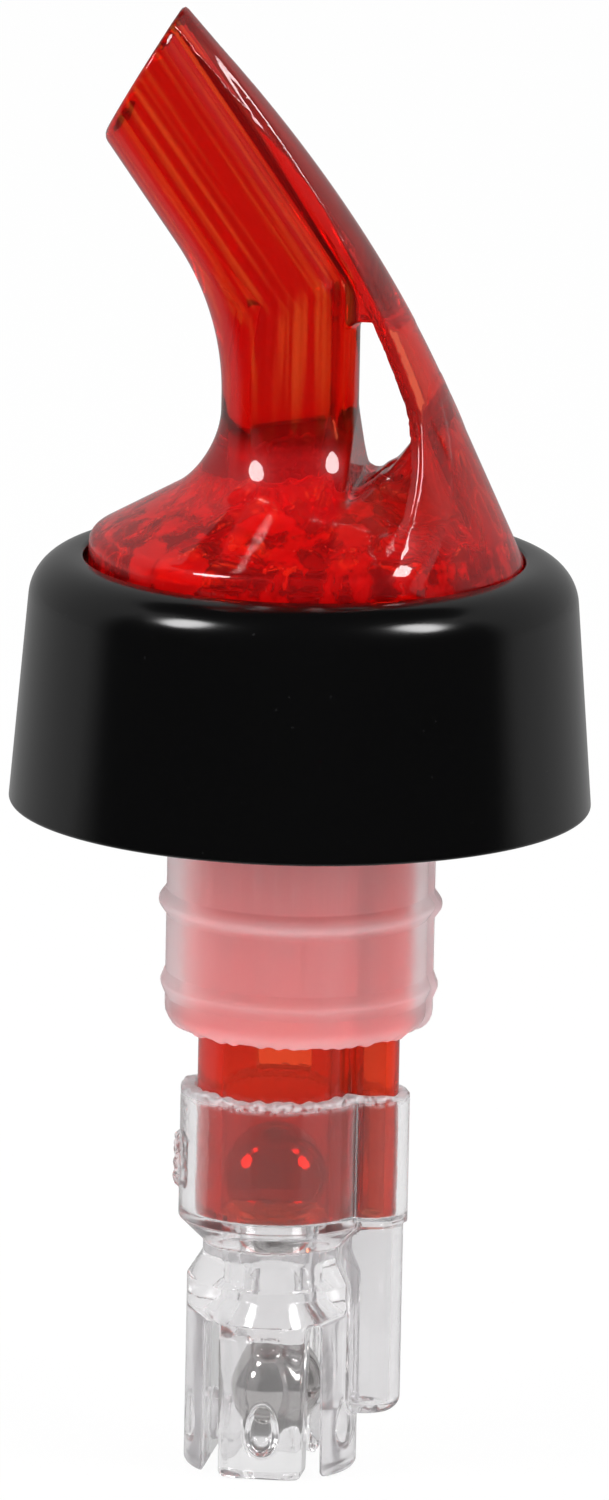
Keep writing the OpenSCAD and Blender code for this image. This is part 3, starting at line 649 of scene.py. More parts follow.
def level_surface(field, axes, step):
    """Points, quads and normals of the closed surface on which a field is zero.

    Each grid cell that the surface passes gets one point, the mean of the crossings on its edges, and
    each grid edge that the surface crosses gets one quad between the four cells round it. Steps down
    the field's slope then carry the points onto the surface, and the slope there is the normal.
    """
    values = field(*np.meshgrid(*axes, indexing="ij"))
    inside = values < 0
    shape = tuple(n - 1 for n in inside.shape)
    count = np.zeros(shape, np.int8)
    for a, b, c in CORNERS:
        count += inside[a : a + shape[0], b : b + shape[1], c : c + shape[2]]
    cells = np.argwhere((count > 0) & (count < 8))
    nodes = cells[:, None, :] + CORNERS
    at = values[tuple(np.moveaxis(nodes, -1, 0))]
    place = np.stack([axis[nodes[..., k]] for k, axis in enumerate(axes)], axis=-1)
    total = np.zeros((len(cells), 3))
    hits = np.zeros(len(cells))
    for a, b in EDGES:
        crossed = (at[:, a] < 0) != (at[:, b] < 0)
        part = np.where(crossed, at[:, a] / np.where(crossed, at[:, a] - at[:, b], 1), 0)
        total += crossed[:, None] * (place[:, a] + part[:, None] * (place[:, b] - place[:, a]))
        hits += crossed
    points = total / hits[:, None]
    index = np.full(shape, -1)
    index[tuple(cells.T)] = np.arange(len(cells))
    quads = []
    for k in range(3):
        low = np.take(inside, np.arange(inside.shape[k] - 1), axis=k)
        high = np.take(inside, np.arange(1, inside.shape[k]), axis=k)
        cell = np.argwhere(low != high)
        u, v = np.eye(3, dtype=int)[[(k + 1) % 3, (k + 2) % 3]]
        ring = np.stack([index[tuple((cell - s).T)] for s in (u + v, v, 0 * u, u)], axis=1)
        outward = low[tuple(cell.T)]
        quads.append(np.where(outward[:, None], ring, ring[:, ::-1]))
    quads = np.concatenate(quads)
    if quads.min() < 0:
        raise ValueError("the surface leaves its grid")
    for _ in range(SETTLE_ROUNDS):
        slope = slope_of(field, points, SETTLE_STEP * step)
        square = np.maximum((slope**2).sum(axis=1), LEAST_SLOPE)
        move = field(*points.T)[:, None] * slope / square[:, None]
        points = points - np.clip(move, -SETTLE_REACH * step, SETTLE_REACH * step)
    normals = slope_of(field, points, NORMAL_STEP * step)
    normals /= np.maximum(np.linalg.norm(normals, axis=1), TINY)[:, None]
    return points, quads, normals


def ring_quads(rows, columns):
    """Quads of a grid of points that closes on itself along its rows and along its columns."""
    index = np.arange(rows * columns).reshape(rows, columns)
    down = np.roll(index, -1, axis=0)
    quads = np.stack([index, np.roll(index, -1, axis=1), np.roll(down, -1, axis=1), down], axis=-1)
    return quads.reshape(-1, 4)


def turned(r, a, z):
    """Points at a reach r, an angle a and a height z round the Z axis."""
    return np.stack(np.broadcast_arrays(r * np.cos(a), r * np.sin(a), z), axis=-1)


def rounded(corners, radii, steps=9):
    """Outline through corners, each replaced by an arc of its own radius that touches both of its sides.

    The arc's centre lies on the corner's bisector, at the radius over the sine of half the corner.
    """
    corners = np.asarray(corners, float)
    back = np.roll(corners, 1, axis=0) - corners
    on = np.roll(corners, -1, axis=0) - corners
    back /= np.linalg.norm(back, axis=1)[:, None]
    on /= np.linalg.norm(on, axis=1)[:, None]
    half = np.arccos(np.clip((back * on).sum(axis=1), -1, 1)) / 2
    bisector = back + on
    bisector /= np.linalg.norm(bisector, axis=1)[:, None]
    radii = np.asarray(radii, float)
    centre = corners + bisector * (radii / np.sin(half))[:, None]
    start = corners + back * (radii / np.tan(half))[:, None] - centre
    turn = -np.sign(back[:, 0] * on[:, 1] - back[:, 1] * on[:, 0]) * (np.pi - 2 * half)
    a = np.linspace(0, 1, steps)[None, :] * turn[:, None]
    x = start[:, :1] * np.cos(a) - start[:, 1:] * np.sin(a)
    y = start[:, :1] * np.sin(a) + start[:, 1:] * np.cos(a)
    return (centre[:, None, :] + np.stack([x, y], axis=-1)).reshape(-1, 2)


def waves(a, counts, seed):
    """Sum of sines of whole counts round an angle, each with its own phase, scaled to about -1 to 1."""
    counts = np.asarray(counts)
    phase = np.random.default_rng(seed).uniform(0, 2 * np.pi, len(counts))
    return np.sin(a[..., None] * counts + phase).sum(axis=-1) / math.sqrt(len(counts))


SHARP_ANGLE = math.radians(40)


def add_piece(name, points, quads, body, node, material, normals=None):
    """Make a piece from its points and quads, put it on its body and let it stand for its node."""
    mesh = bpy.data.meshes.new(name)
    mesh.vertices.add(len(points))
    mesh.vertices.foreach_set("co", points.astype(np.float32).ravel())
    mesh.loops.add(quads.size)
    mesh.loops.foreach_set("vertex_index", quads.astype(np.int32).ravel())
    mesh.polygons.add(len(quads))
    mesh.polygons.foreach_set("loop_start", np.arange(0, quads.size, 4, dtype=np.int32))
    mesh.update(calc_edges=True)
    mesh.polygons.foreach_set("use_smooth", np.ones(len(quads), bool))
    if normals is None:
        mesh.set_sharp_from_angle(angle=SHARP_ANGLE)
    else:
        mesh.normals_split_custom_set_from_vertices(normals.tolist())
    mesh.materials.append(material)
    piece = bpy.data.objects.new(name, mesh)
    bpy.context.scene.collection.objects.link(piece)
    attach(piece, body)
    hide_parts(node)
    return piece


def elbow_height(s):
    """Height of the elbow, where the pouring tube's upright and leaning axes meet."""
    return s.bend_z + s.bend_radius * math.tan(s.bend_angle / 2)


def past_elbow(x, z, s, lean):
    """Distance past the elbow, along a line that leans by an angle."""
    return (z - elbow_height(s)) * math.cos(lean) - (x - TUBE_X) * math.sin(lean)


def lean_offset(x, z, s):
    """Distance in the XZ plane from the pouring tube's leaning axis, negative to the left of it."""
    across = (x - (TUBE_X - s.bend_radius)) * math.cos(s.bend_angle)
    return across + (z - s.bend_z) * math.sin(s.bend_angle) - s.bend_radius


def tube_offset(x, z, s):
    """Distances in the XZ plane from the pouring tube's core and its leaning axis, negative to the left.

    The core lies between two lines. The left one runs up, round the bend and along the lean. The right
    one runs up to the elbow where both axes meet, and then along the lean.
    """
    bend_x = TUBE_X - s.bend_radius
    elbow_z = elbow_height(s)
    leaning = lean_offset(x, z, s)
    along = past_elbow(x, z, s, s.bend_angle)
    turn = np.arctan2(z - s.bend_z, x - bend_x)
    arc = np.hypot(x - bend_x, z - s.bend_z) - s.bend_radius
    left = np.where(turn < 0, x - TUBE_X, np.where(turn < s.bend_angle, arc, leaning))
    corner = np.hypot(x - TUBE_X, z - elbow_z)
    right = np.where(z < elbow_z, x - TUBE_X, np.where(along < 0, corner, leaning))
    return np.where(left < 0, left, np.maximum(right, 0)), leaning


def shield_plate(x, y, z, s, tip):
    """Fields of the back shield: its plate, its middle surface, its outer face and its side edges.

    Level sections are arcs. Up the straight foot they are concentric with the collar and flare, and
    above it they follow a parabola from the knee to the mouth's tip and narrow.
    """
    slope = math.tan(s.shield_lean)
    foot_r = SPOUT_HIGH.y - s.foot_inset
    foot_z = s.rim_z - s.foot_inset
    knee_z = s.rim_z + s.shield_straight
    knee_r = foot_r - s.shield_straight * slope
    knee_angle = math.asin(s.knee_half_width / knee_r)
    low = np.clip((z - foot_z) / (knee_z - foot_z), 0, 1)
    high = np.clip((z - knee_z) / (tip[1] - knee_z), 0, 1)
    turn_x = knee_r - (tip[1] - knee_z) / 2 * slope
    spine = (1 - high) ** 2 * knee_r + 2 * high * (1 - high) * turn_x + high**2 * tip[0]
    tilt = slope + high * (2 * (turn_x - tip[0]) / (tip[1] - knee_z) - slope)
    radius = np.where(z < knee_z, foot_r - (z - s.rim_z) * slope, knee_r + (s.tube_radius - knee_r) * high)
    spine = np.where(z < knee_z, radius, spine)
    half_w = s.knee_half_width + (s.tip_half_width - s.knee_half_width) * high
    flare = knee_angle + (s.foot_angle - knee_angle) * (1 - low) ** s.foot_flare
    half_angle = np.where(z < knee_z, flare, np.arcsin(half_w / radius))
    across = x - spine + radius
    reach = np.hypot(across, y)
    level = 1 / np.sqrt(1 + tilt**2)
    half_t = s.shield_thickness / 2 * level
    middle = (reach - radius) * level + half_t
    edge = (np.arctan2(np.abs(y), across) - half_angle) * reach
    plate = np.maximum(blunt(np.abs(middle) - half_t, edge, s.edge), foot_z - z)
    return plate, middle, middle - half_t, edge


def flange_top(r, s):
    """Height of the flange's sloping upper face at a distance from the axis."""
    start = SPOUT_HIGH.y - s.rim_round * (1 - math.sin(s.flange_slope))
    return s.rim_z + s.rim_round * math.cos(s.flange_slope) + (start - r) * math.tan(s.flange_slope)


# Ripples in the hollow's roof: their waves round the axis, the swirl in them and their pitch outwards
RIPPLE_COUNTS, RIPPLE_SEED = [5, 9, 14, 22], 3
SWIRL_COUNTS, SWIRL_SEED = [3, 7], 6
SWIRL_TURN = 2
RIPPLE_PITCH = 0.55 * MM

# Roundings in counts of the spout's edge rounding
ROOF_EDGES = 4
WEB_EDGES = 3
MOUTH_EDGES = 1.6

# The shield's outer face trims the body, but ever less from this far inside its side edges
TRIM_REACH = 4 * MM
TRIM_SLOPE = 3


def hollow_field(x, y, z, s, body):
    """Distance field of the hollow under the flange and the bell.

    Its roof lies a wall's thickness under the outer body and has ripples, and it stands clear of the
    chamber tube and the breather pipe.
    """
    r = np.hypot(x, y)
    a = np.arctan2(y, x)
    swirl = SWIRL_TURN * waves(a, SWIRL_COUNTS, SWIRL_SEED)
    ripple = waves(a, RIPPLE_COUNTS, RIPPLE_SEED) * np.sin(r / RIPPLE_PITCH + swirl)
    tube_r = s.chamber_radius + s.chamber_wall
    wall = np.interp(z, [s.rim_z, s.rim_z + s.hollow_roof], [tube_r, s.hollow_core])
    tube = wall - np.hypot(x - TUBE_X, y)
    breather = s.breather_radius - np.hypot(x - TUBE_X - s.breather_pitch, y)
    sides = np.maximum(np.maximum(tube, breather), r - SPOUT_HIGH.y + s.hollow_wall)
    roof = np.maximum(body + s.hollow_roof + s.hollow_ripple * ripple, z - s.bend_z)
    return blunt(sides, roof, ROOF_EDGES * s.edge)


def bore_field(x, y, z, s, leaning):
    """Distance field of all that is bored out of the spout.

    The chamber narrows over its seat to the upright bore, which meets the leaning bore in the plane that
    halves their angle. The breather's bore and the inlet window stand beside them.
    """
    elbow_z = elbow_height(s)
    seat_top = s.chamber_top + (s.chamber_radius - s.bore_radius) / math.tan(s.seat_angle)
    bore_r = np.interp(z, [s.chamber_top, seat_top], [s.chamber_radius, s.bore_radius])
    past = past_elbow(x, z, s, s.bend_angle / 2)
    bore_r = bore_r + (s.mouth_bore_radius - s.bore_radius) * np.clip(1 + past / (elbow_z - seat_top), 0, 1)
    pour = np.where(past < 0, np.hypot(x - TUBE_X, y) - bore_r, np.hypot(leaning, y) - s.mouth_bore_radius)
    breather = np.hypot(x - TUBE_X - s.breather_pitch, y) - s.breather_bore
    breather = np.maximum(breather, z - s.bend_z)
    inlet_z = (STOPPER_LOW.z + TAIL_HIGH.z) / 2
    inlet = np.maximum(np.abs(x - TUBE_X) - s.inlet_width / 2, np.abs(z - inlet_z) - s.inlet_height / 2)
    inlet = np.maximum(inlet, -y)
    return np.minimum(pour, np.minimum(breather, inlet))


def spout_field(s):
    """Distance field of the spout: tube, bell, flange, shield and chamber tube, less the bores."""
    cos, sin = math.cos(s.bend_angle), math.sin(s.bend_angle)
    mouth = np.array([TUBE_X - s.bend_radius * (1 - cos), s.bend_z + s.bend_radius * sin])
    mouth = mouth + s.mouth_reach * np.array([-sin, cos])
    mouth_half = s.tube_radius / math.cos(s.mouth_tilt - s.bend_angle)
    tip = mouth + mouth_half * np.array([math.cos(s.mouth_tilt), math.sin(s.mouth_tilt)])
    gap_x = TUBE_X + s.tube_radius
    knee_z = s.rim_z + s.shield_straight
    # A fillet's reach for a right angle, lessened for the wider angle between the tube and the flange
    bell_reach = s.bell_radius * (1 - math.sin(math.pi / 4 + s.flange_slope / 2)) / (1 - math.sqrt(0.5))

    def field(x, y, z):
        offset, leaning = tube_offset(x, z, s)
        tube = np.hypot(offset, y) - s.tube_radius
        axis_r = np.hypot(x, y)
        slant = (z - flange_top(axis_r, s)) * math.cos(s.flange_slope)
        disc = blunt(axis_r - SPOUT_HIGH.y, slant, s.rim_round)
        run = np.maximum(x - gap_x, 0)
        floor_z = s.gap_z + run * (s.gap_rise + run / s.gap_curve)
        above = (floor_z - z) / np.sqrt(1 + (s.gap_rise + 2 * run / s.gap_curve) ** 2)
        gap = blunt(gap_x - x, above, s.gap_round)
        bell = carve(fillet(tube, disc, bell_reach), gap, s.edge)
        plate, middle, outer, edge = shield_plate(x, y, z, s, tip)
        web = blunt(np.abs(y) - s.web_width / 2, -above, WEB_EDGES * s.edge)
        web = np.maximum(np.maximum(web, middle), TUBE_X - x)
        crest = blunt(np.abs(y) - s.crest_width / 2, s.gap_top - z, s.edge)
        crest = np.maximum(np.maximum(crest, middle), -offset)
        body = fillet(fillet(np.minimum(tube, bell), web, s.blend), crest, s.blend)
        joint = np.interp(z, [s.rim_z, s.gap_z, knee_z], [s.foot_blend, s.foot_blend, s.blend])
        body = fillet(body, plate, joint)
        spare = np.maximum(edge + TRIM_REACH, 0) / TRIM_SLOPE + np.maximum(z - knee_z, 0)
        body = blunt(body, outer - spare, s.edge / 2)
        hollow = hollow_field(x, y, z, s, body)
        body = carve(blunt(body, s.flange_z0 - z, s.edge), hollow, s.edge)
        pipes = fillet(
            np.hypot(x - TUBE_X, y) - s.chamber_radius - s.chamber_wall,
            np.hypot(x - TUBE_X - s.breather_pitch, y) - s.breather_radius,
            s.edge,
        )
        pipes = blunt(np.maximum(pipes, z - s.rim_z), SPOUT_LOW.z - z, s.edge)
        boss = blunt(axis_r - s.boss_radius, STOPPER_HIGH.z - z, s.edge)
        boss = np.maximum(boss, z - s.flange_z0 - s.edge)
        body = np.minimum(np.minimum(body, boss), pipes)
        body = carve(body, bore_field(x, y, z, s, leaning), s.edge / 2)
        past = (z - mouth[1]) * math.cos(s.mouth_tilt) - (x - mouth[0]) * math.sin(s.mouth_tilt)
        return blunt(body, past, MOUTH_EDGES * s.edge)

    return field


def spaced(low, high, step):
    """Even places from below low to above high, two steps past each."""
    return np.arange(low - 2 * step, high + 3 * step, step)


class POURER_OT_spout(bpy.types.Operator):
    """Build the clear red spout with its shield, bell and chamber tube"""

    bl_idname = "pourer.spout"
    bl_label = "Spout"

    def execute(self, context):
        s = context.scene.pourer_spout
        upper = spaced(STOPPER_HIGH.z, SPOUT_HIGH.z, s.step)
        lower = np.arange(SPOUT_LOW.z + 2 * s.step, upper[0], s.tube_step)
        foot = SPOUT_LOW.z + s.step * np.arange(-2, 2)
        levels = np.concatenate([foot, lower, upper])
        across = spaced(SPOUT_LOW.x, SPOUT_HIGH.x, s.step)
        deep = spaced(SPOUT_LOW.y, SPOUT_HIGH.y, s.step)
        points, quads, normals = level_surface(spout_field(s), (across, deep, levels), s.step)
        material = red_plastic(context.scene.pourer_finishes, s)
        add_piece("clear_red_spout", points, quads, "body", "spout", material, normals)
        return {"FINISHED"}


# Points to an arc of the collar's outline, the shoulder's share of its room and the ceiling's rounding
COLLAR_ARC = 17
SHOULDER_SHARE = 0.99
CEILING_EDGES = 1.5


class POURER_OT_collar(bpy.types.Operator):
    """Build the black collar: one rounded outline turned round the stopper's axis"""

    bl_idname = "pourer.collar"
    bl_label = "Collar"

    def execute(self, context):
        s = context.scene.pourer_collar
        outer, z0, z1 = COLLAR_HIGH.x, COLLAR_LOW.z, COLLAR_HIGH.z
        draft = (outer - s.opening - s.shoulder) / (z1 - s.shoulder - z0)
        side_r = outer - draft * (z1 - z0)
        ceiling = outer - s.wall - draft * (s.web_z0 - z0)
        corners = [
            (s.hole, s.web_z1),
            (s.hole, s.web_z0),
            (ceiling, s.web_z0),
            (outer - s.wall, z0),
            (outer, z0),
            (side_r, z1),
            (s.opening, z1),
            (s.opening, s.web_z1),
        ]
        shoulder = SHOULDER_SHARE * (side_r - s.opening - s.edge)
        radii = [s.edge, s.edge, CEILING_EDGES * s.edge, s.edge, s.edge, shoulder, s.edge, s.edge]
        outline = rounded(corners, radii, COLLAR_ARC)
        a = np.linspace(0, 2 * np.pi, s.around, endpoint=False)
        r, z = outline[:, 0][:, None], outline[:, 1][:, None]
        points = turned(r, a, z).reshape(-1, 3)
        quads = ring_quads(len(outline), s.around)
        material = black_plastic(context.scene.pourer_finishes)
        add_piece("black_collar", points, quads, "collar", "collar", material)
        return {"FINISHED"}


def keyhole(a, big, small, pitch):
    """Reach from the big circle's middle to a keyhole's edge, in the direction of angle a.

    The keyhole is a big circle with a small one beside it, so the reach is the larger of the big radius
    and the far crossing of the ray with the small circle.
    """
    inside = np.maximum(small**2 - (pitch * np.sin(a)) ** 2, 0)
    far = np.where(np.abs(pitch * np.sin(a)) < small, pitch * np.cos(a) + np.sqrt(inside), 0)
    return np.maximum(big, far)


# Points to an arc of the stopper's outline, its roundings, its frayed edge and the rows of its bore
STOPPER_ARC = 7
RIB_ROOT_ROUND = 0.25 * MM
RIB_CREST_ROUND = 0.5 * MM
FLANGE_ROUND = 0.3 * MM
CLOSING_SHARE = 0.75
CLOSING_ROUND = 0.01 * MM
FRAY_COUNTS, FRAY_SEED = [11, 19, 31, 47], 4
FRAY_LEAST = -0.4
BORE_ROWS = 12


class POURER_OT_stopper(bpy.types.Operator):
    """Build the ribbed stopper: an outline turned round the axis, bored to the tube's keyhole"""

    bl_idname = "pourer.stopper"
    bl_label = "Stopper"

    def execute(self, context):
        s = context.scene.pourer_stopper
        spout = context.scene.pourer_spout
        z0, z1, flange_r = STOPPER_LOW.z, STOPPER_HIGH.z, STOPPER_HIGH.x
        corners, radii = [(s.wall_radius, z0)], [s.foot_round]
        for i in range(s.rib_count):
            rib_z = s.rib_low + i * s.rib_pitch
            crest = s.rib_radius + i * s.rib_step
            corners += [
                (s.wall_radius, rib_z - s.rib_height / 2),
                (crest, rib_z),
                (s.wall_radius, rib_z + s.rib_height / 2),
            ]
            radii += [RIB_ROOT_ROUND, RIB_CREST_ROUND, RIB_ROOT_ROUND]
        corners += [(s.wall_radius, s.flange_z0), (flange_r, s.flange_z0), (flange_r, z1)]
        radii += 3 * [FLANGE_ROUND]
        # Two corners inside close the outline for its arcs, and the bore then takes their place
        corners += [(CLOSING_SHARE * s.wall_radius, z1), (CLOSING_SHARE * s.wall_radius, z0)]
        radii += 2 * [CLOSING_ROUND]
        outline = rounded(corners, radii, STOPPER_ARC)[: -2 * STOPPER_ARC]
        a = np.linspace(0, 2 * np.pi, s.around, endpoint=False)
        r, z = outline[:, 0][:, None], outline[:, 1][:, None]
        fray = np.clip(1 - (z - z0) / s.foot_round, 0, 1) ** 2
        z = z - s.fray * fray * np.maximum(waves(a, FRAY_COUNTS, FRAY_SEED), FRAY_LEAST)
        outer = turned(r, a, z)
        outer[..., 0] += s.half_shift * (np.sin(a) > 0)
        tube_r = spout.chamber_radius + spout.chamber_wall + s.push_gap
        reach = keyhole(a, tube_r, spout.breather_radius + s.push_gap, spout.breather_pitch)
        bore = turned(reach, a, np.linspace(z1, z0, BORE_ROWS)[:, None])
        bore[..., 0] += TUBE_X
        points = np.concatenate([outer, bore])
        quads = ring_quads(len(points), s.around)
        material = soft_plastic(context.scene.pourer_finishes, s)
        add_piece("ribbed_stopper", points.reshape(-1, 3), quads, "body", "stopper", material)
        return {"FINISHED"}


# Clearance, roundings, nub and gate shapes and rim waves of the tail
SEAT_CLEARANCE = 0.1 * MM
BARREL_SCALE = 0.85
PRONG_END_ROUND = 0.6 * MM
POST_END_ROUND = 1.2 * MM
CUP_FILLET = 0.4 * MM
POST_FILLET = 0.35 * MM
NUB_FILLET = 0.25 * MM
NUB_ABOVE, NUB_BELOW = 0.55, 0.8
TORN_SHARE = 0.3
TORN_PITCH, TORN_SKEW = 0.31 * MM, 0.5 * MM
GATE_CORNER = 0.6 * MM
GATE_ROUND = 0.3 * MM
KEYHOLE_FILLET = 0.2 * MM
COLUMN_FLOOR = 0.8 * MM
AIR_HOLE_DEPTH = 2 * MM
RIM_COUNTS, RIM_SEED = [2, 3, 7, 19, 31], 8


def tail_field(s, spout):
    """Distance field of the tail: cup and side column, waist, barrel and prongs, less the bores."""
    cup_r = TUBE_X - TAIL_LOW.x
    column_x = TUBE_X + spout.breather_pitch
    tube_r = spout.chamber_radius + spout.chamber_wall + s.push_gap
    pipe_r = spout.breather_radius + s.push_gap
    check_z = (CHECK_LOW.z + CHECK_HIGH.z) / 2
    ball_r = (CHECK_HIGH.z - CHECK_LOW.z) / 2
    cone = math.tan(spout.seat_angle)
    apex = check_z + s.check_lift + (ball_r + SEAT_CLEARANCE) / math.sin(spout.seat_angle)
    heights = [TAIL_LOW.z, s.barrel_z1, s.waist_z0, s.waist_z1, s.cup_z0]
    widths = [s.barrel_radius, s.barrel_radius, s.waist_radius, s.waist_radius, cup_r]
    bore_heights = [apex - s.cage_radius / cone, apex - s.passage / cone]
    nub_z = check_z - s.nub_drop

    def field(x, y, z):
        dx = x - TUBE_X
        reach = np.hypot(dx, y)
        a = np.arctan2(y, dx)
        side = np.hypot(x - column_x, y)
        rim = TAIL_HIGH.z - s.rim_wave * (0.5 + 0.5 * waves(a, RIM_COUNTS, RIM_SEED))
        round_r = np.interp(z, heights, widths)
        barrel = (reach - round_r) * BARREL_SCALE
        flat = np.abs(y) - s.barrel_radius + s.prong_flat
        barrel = np.where(z < s.slot_z1, blunt(barrel, flat, s.edge), barrel)
        below = z - s.slot_z1
        gap = s.slot_width / 2 + s.slot_spread / 2 * np.clip(below / (TAIL_LOW.z - s.slot_z1), 0, 1)
        slot = np.abs(np.abs(dx) - s.prong_half_width - s.slot_width / 2) - gap
        slot = blunt(slot, below, s.edge)
        bore_r = np.interp(z, bore_heights, [s.cage_radius, s.passage])
        barrel = carve(carve(barrel, slot, s.edge), reach - bore_r, s.edge)
        barrel = blunt(barrel, TAIL_LOW.z - z, PRONG_END_ROUND)
        cup_side = np.maximum(side - pipe_r - s.column_wall, s.cup_z0 - z)
        post = blunt(side - s.column_radius, s.column_z0 - z, POST_END_ROUND)
        post = np.maximum(post, z - s.cup_z0 - s.edge)
        body = fillet(fillet(barrel, cup_side, CUP_FILLET), post, POST_FILLET)
        tall = (z - nub_z) * np.where(z > nub_z, NUB_ABOVE, NUB_BELOW)
        for turn in np.arange(4) * math.pi / 2:
            nub_x, nub_y = s.nub_ring * math.cos(turn), s.nub_ring * math.sin(turn)
            nub = np.sqrt((dx - nub_x) ** 2 + (y - nub_y) ** 2 + tall**2) - s.nub_radius
            body = fillet(body, nub, NUB_FILLET)
        torn = np.sin(z / TORN_PITCH) * np.sin(y / TORN_PITCH + z / TORN_SKEW)
        torn = s.gate_proud * (1 + TORN_SHARE * torn)
        gate = blunt(np.abs(z - s.gate_z) - s.gate_height / 2, np.abs(y) - s.gate_width / 2, GATE_CORNER)
        gate = np.maximum(blunt(gate, reach - cup_r - torn, GATE_ROUND), dx)
        body = fillet(body, gate, GATE_ROUND)
        cup = fillet(reach - tube_r, side - pipe_r, KEYHOLE_FILLET)
        body = carve(body, blunt(cup, SPOUT_LOW.z - s.push_gap - z, s.edge), s.edge)
        column = blunt(side - s.column_bore, s.column_z0 + COLUMN_FLOOR - z, s.edge)
        body = carve(body, np.maximum(column, z - SPOUT_LOW.z), s.edge)
        air = np.maximum(side - s.air_hole, z - s.column_z0 - AIR_HOLE_DEPTH)
        body = carve(body, air, s.edge / 2)
        return blunt(body, z - rim, s.edge)

    return field


class POURER_OT_tail(bpy.types.Operator):
    """Build the clear tail: cup, side column, waist and the four prongs of the ball's cage"""

    bl_idname = "pourer.tail"
    bl_label = "Tail"

    def execute(self, context):
        s = context.scene.pourer_tail
        low = TAIL_LOW - Vector((2 * s.gate_proud, 0, 0))
        axes = [spaced(low[k], TAIL_HIGH[k], s.step) for k in range(3)]
        points, quads, normals = level_surface(tail_field(s, context.scene.pourer_spout), axes, s.step)
        material = clear_plastic(context.scene.pourer_finishes, s)
        add_piece("clear_tail", points, quads, "body", "tail", material, normals)
        return {"FINISHED"}


def ball_surface(low, high, steps=40):
    """Points and quads of a ball: six square grids pushed out onto it and welded along their edges."""
    t = np.tan(np.linspace(-1, 1, steps + 1) * np.pi / 4)
    u, v = np.meshgrid(t, t, indexing="ij")
    one = np.ones_like(u)
    squares = [np.stack([sign * one, sign * u, v], axis=-1) for sign in (1, -1)]
    sides = [np.roll(square, k, axis=-1) for k in range(3) for square in squares]
    points = np.concatenate([side.reshape(-1, 3) for side in sides])
    points /= np.linalg.norm(points, axis=1)[:, None]
    index = np.arange(len(points)).reshape(6, steps + 1, steps + 1)
    quads = np.stack([index[:, :-1, :-1], index[:, 1:, :-1], index[:, 1:, 1:], index[:, :-1, 1:]], axis=-1)
    welded, place = np.unique(np.round(points, 7), axis=0, return_inverse=True)
    middle, radius = (np.array(low) + np.array(high)) / 2, (high - low).z / 2
    return middle + radius * welded, place.ravel()[quads.reshape(-1, 4)]


class POURER_OT_balls(bpy.types.Operator):
    """Build the two polished steel balls, the cut-off ball and the check ball"""

    bl_idname = "pourer.balls"
    bl_label = "Balls"

    def execute(self, context):
        material = ball_steel(context.scene.pourer_finishes)
        for node in ("cutoff_ball", "check_ball"):
            points, quads = ball_surface(*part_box(node))
            add_piece("steel_" + node, points, quads, node, node, material)
        return {"FINISHED"}


def stage_mesh(name, points, quads, material):
    """Make a piece of the stage, which is no part of the object."""
    mesh = bpy.data.meshes.new(name)
    mesh.from_pydata(points, [], quads)
    mesh.materials.append(material)
    piece = bpy.data.objects.new(name, mesh)
    bpy.context.scene.collection.objects.link(piece)
    return piece


# Kinds of ray that see the white, and the stage's fixed values
RAYS = ("Camera", "Glossy", "Transmission")
WHITE = (1, 1, 1, 1)
FLOOR_GREY = (0.85, 0.85, 0.85, 1)
FLAG_FADE = 0.12
FLAG_LIFT = 0.5 * MM
CARD_SHARE = 0.98
SHEET_POINTS = 65
SENSOR_WIDTH = 36


def seen(wire, s):
    """Whether the camera, a gloss or a clear plastic sees the white, and the level at which it does."""
    camera, gloss, through = (wire.node("ShaderNodeLightPath", output=f"Is {ray} Ray") for ray in RAYS)
    gloss = gloss * (1 - through)
    return camera + gloss + through, camera + s.in_gloss * gloss + s.through_clear * through


def glowing(wire, strength):
    """White light of a strength."""
    return wire.node("ShaderNodeEmission", None, {"Color": WHITE, "Strength": strength})


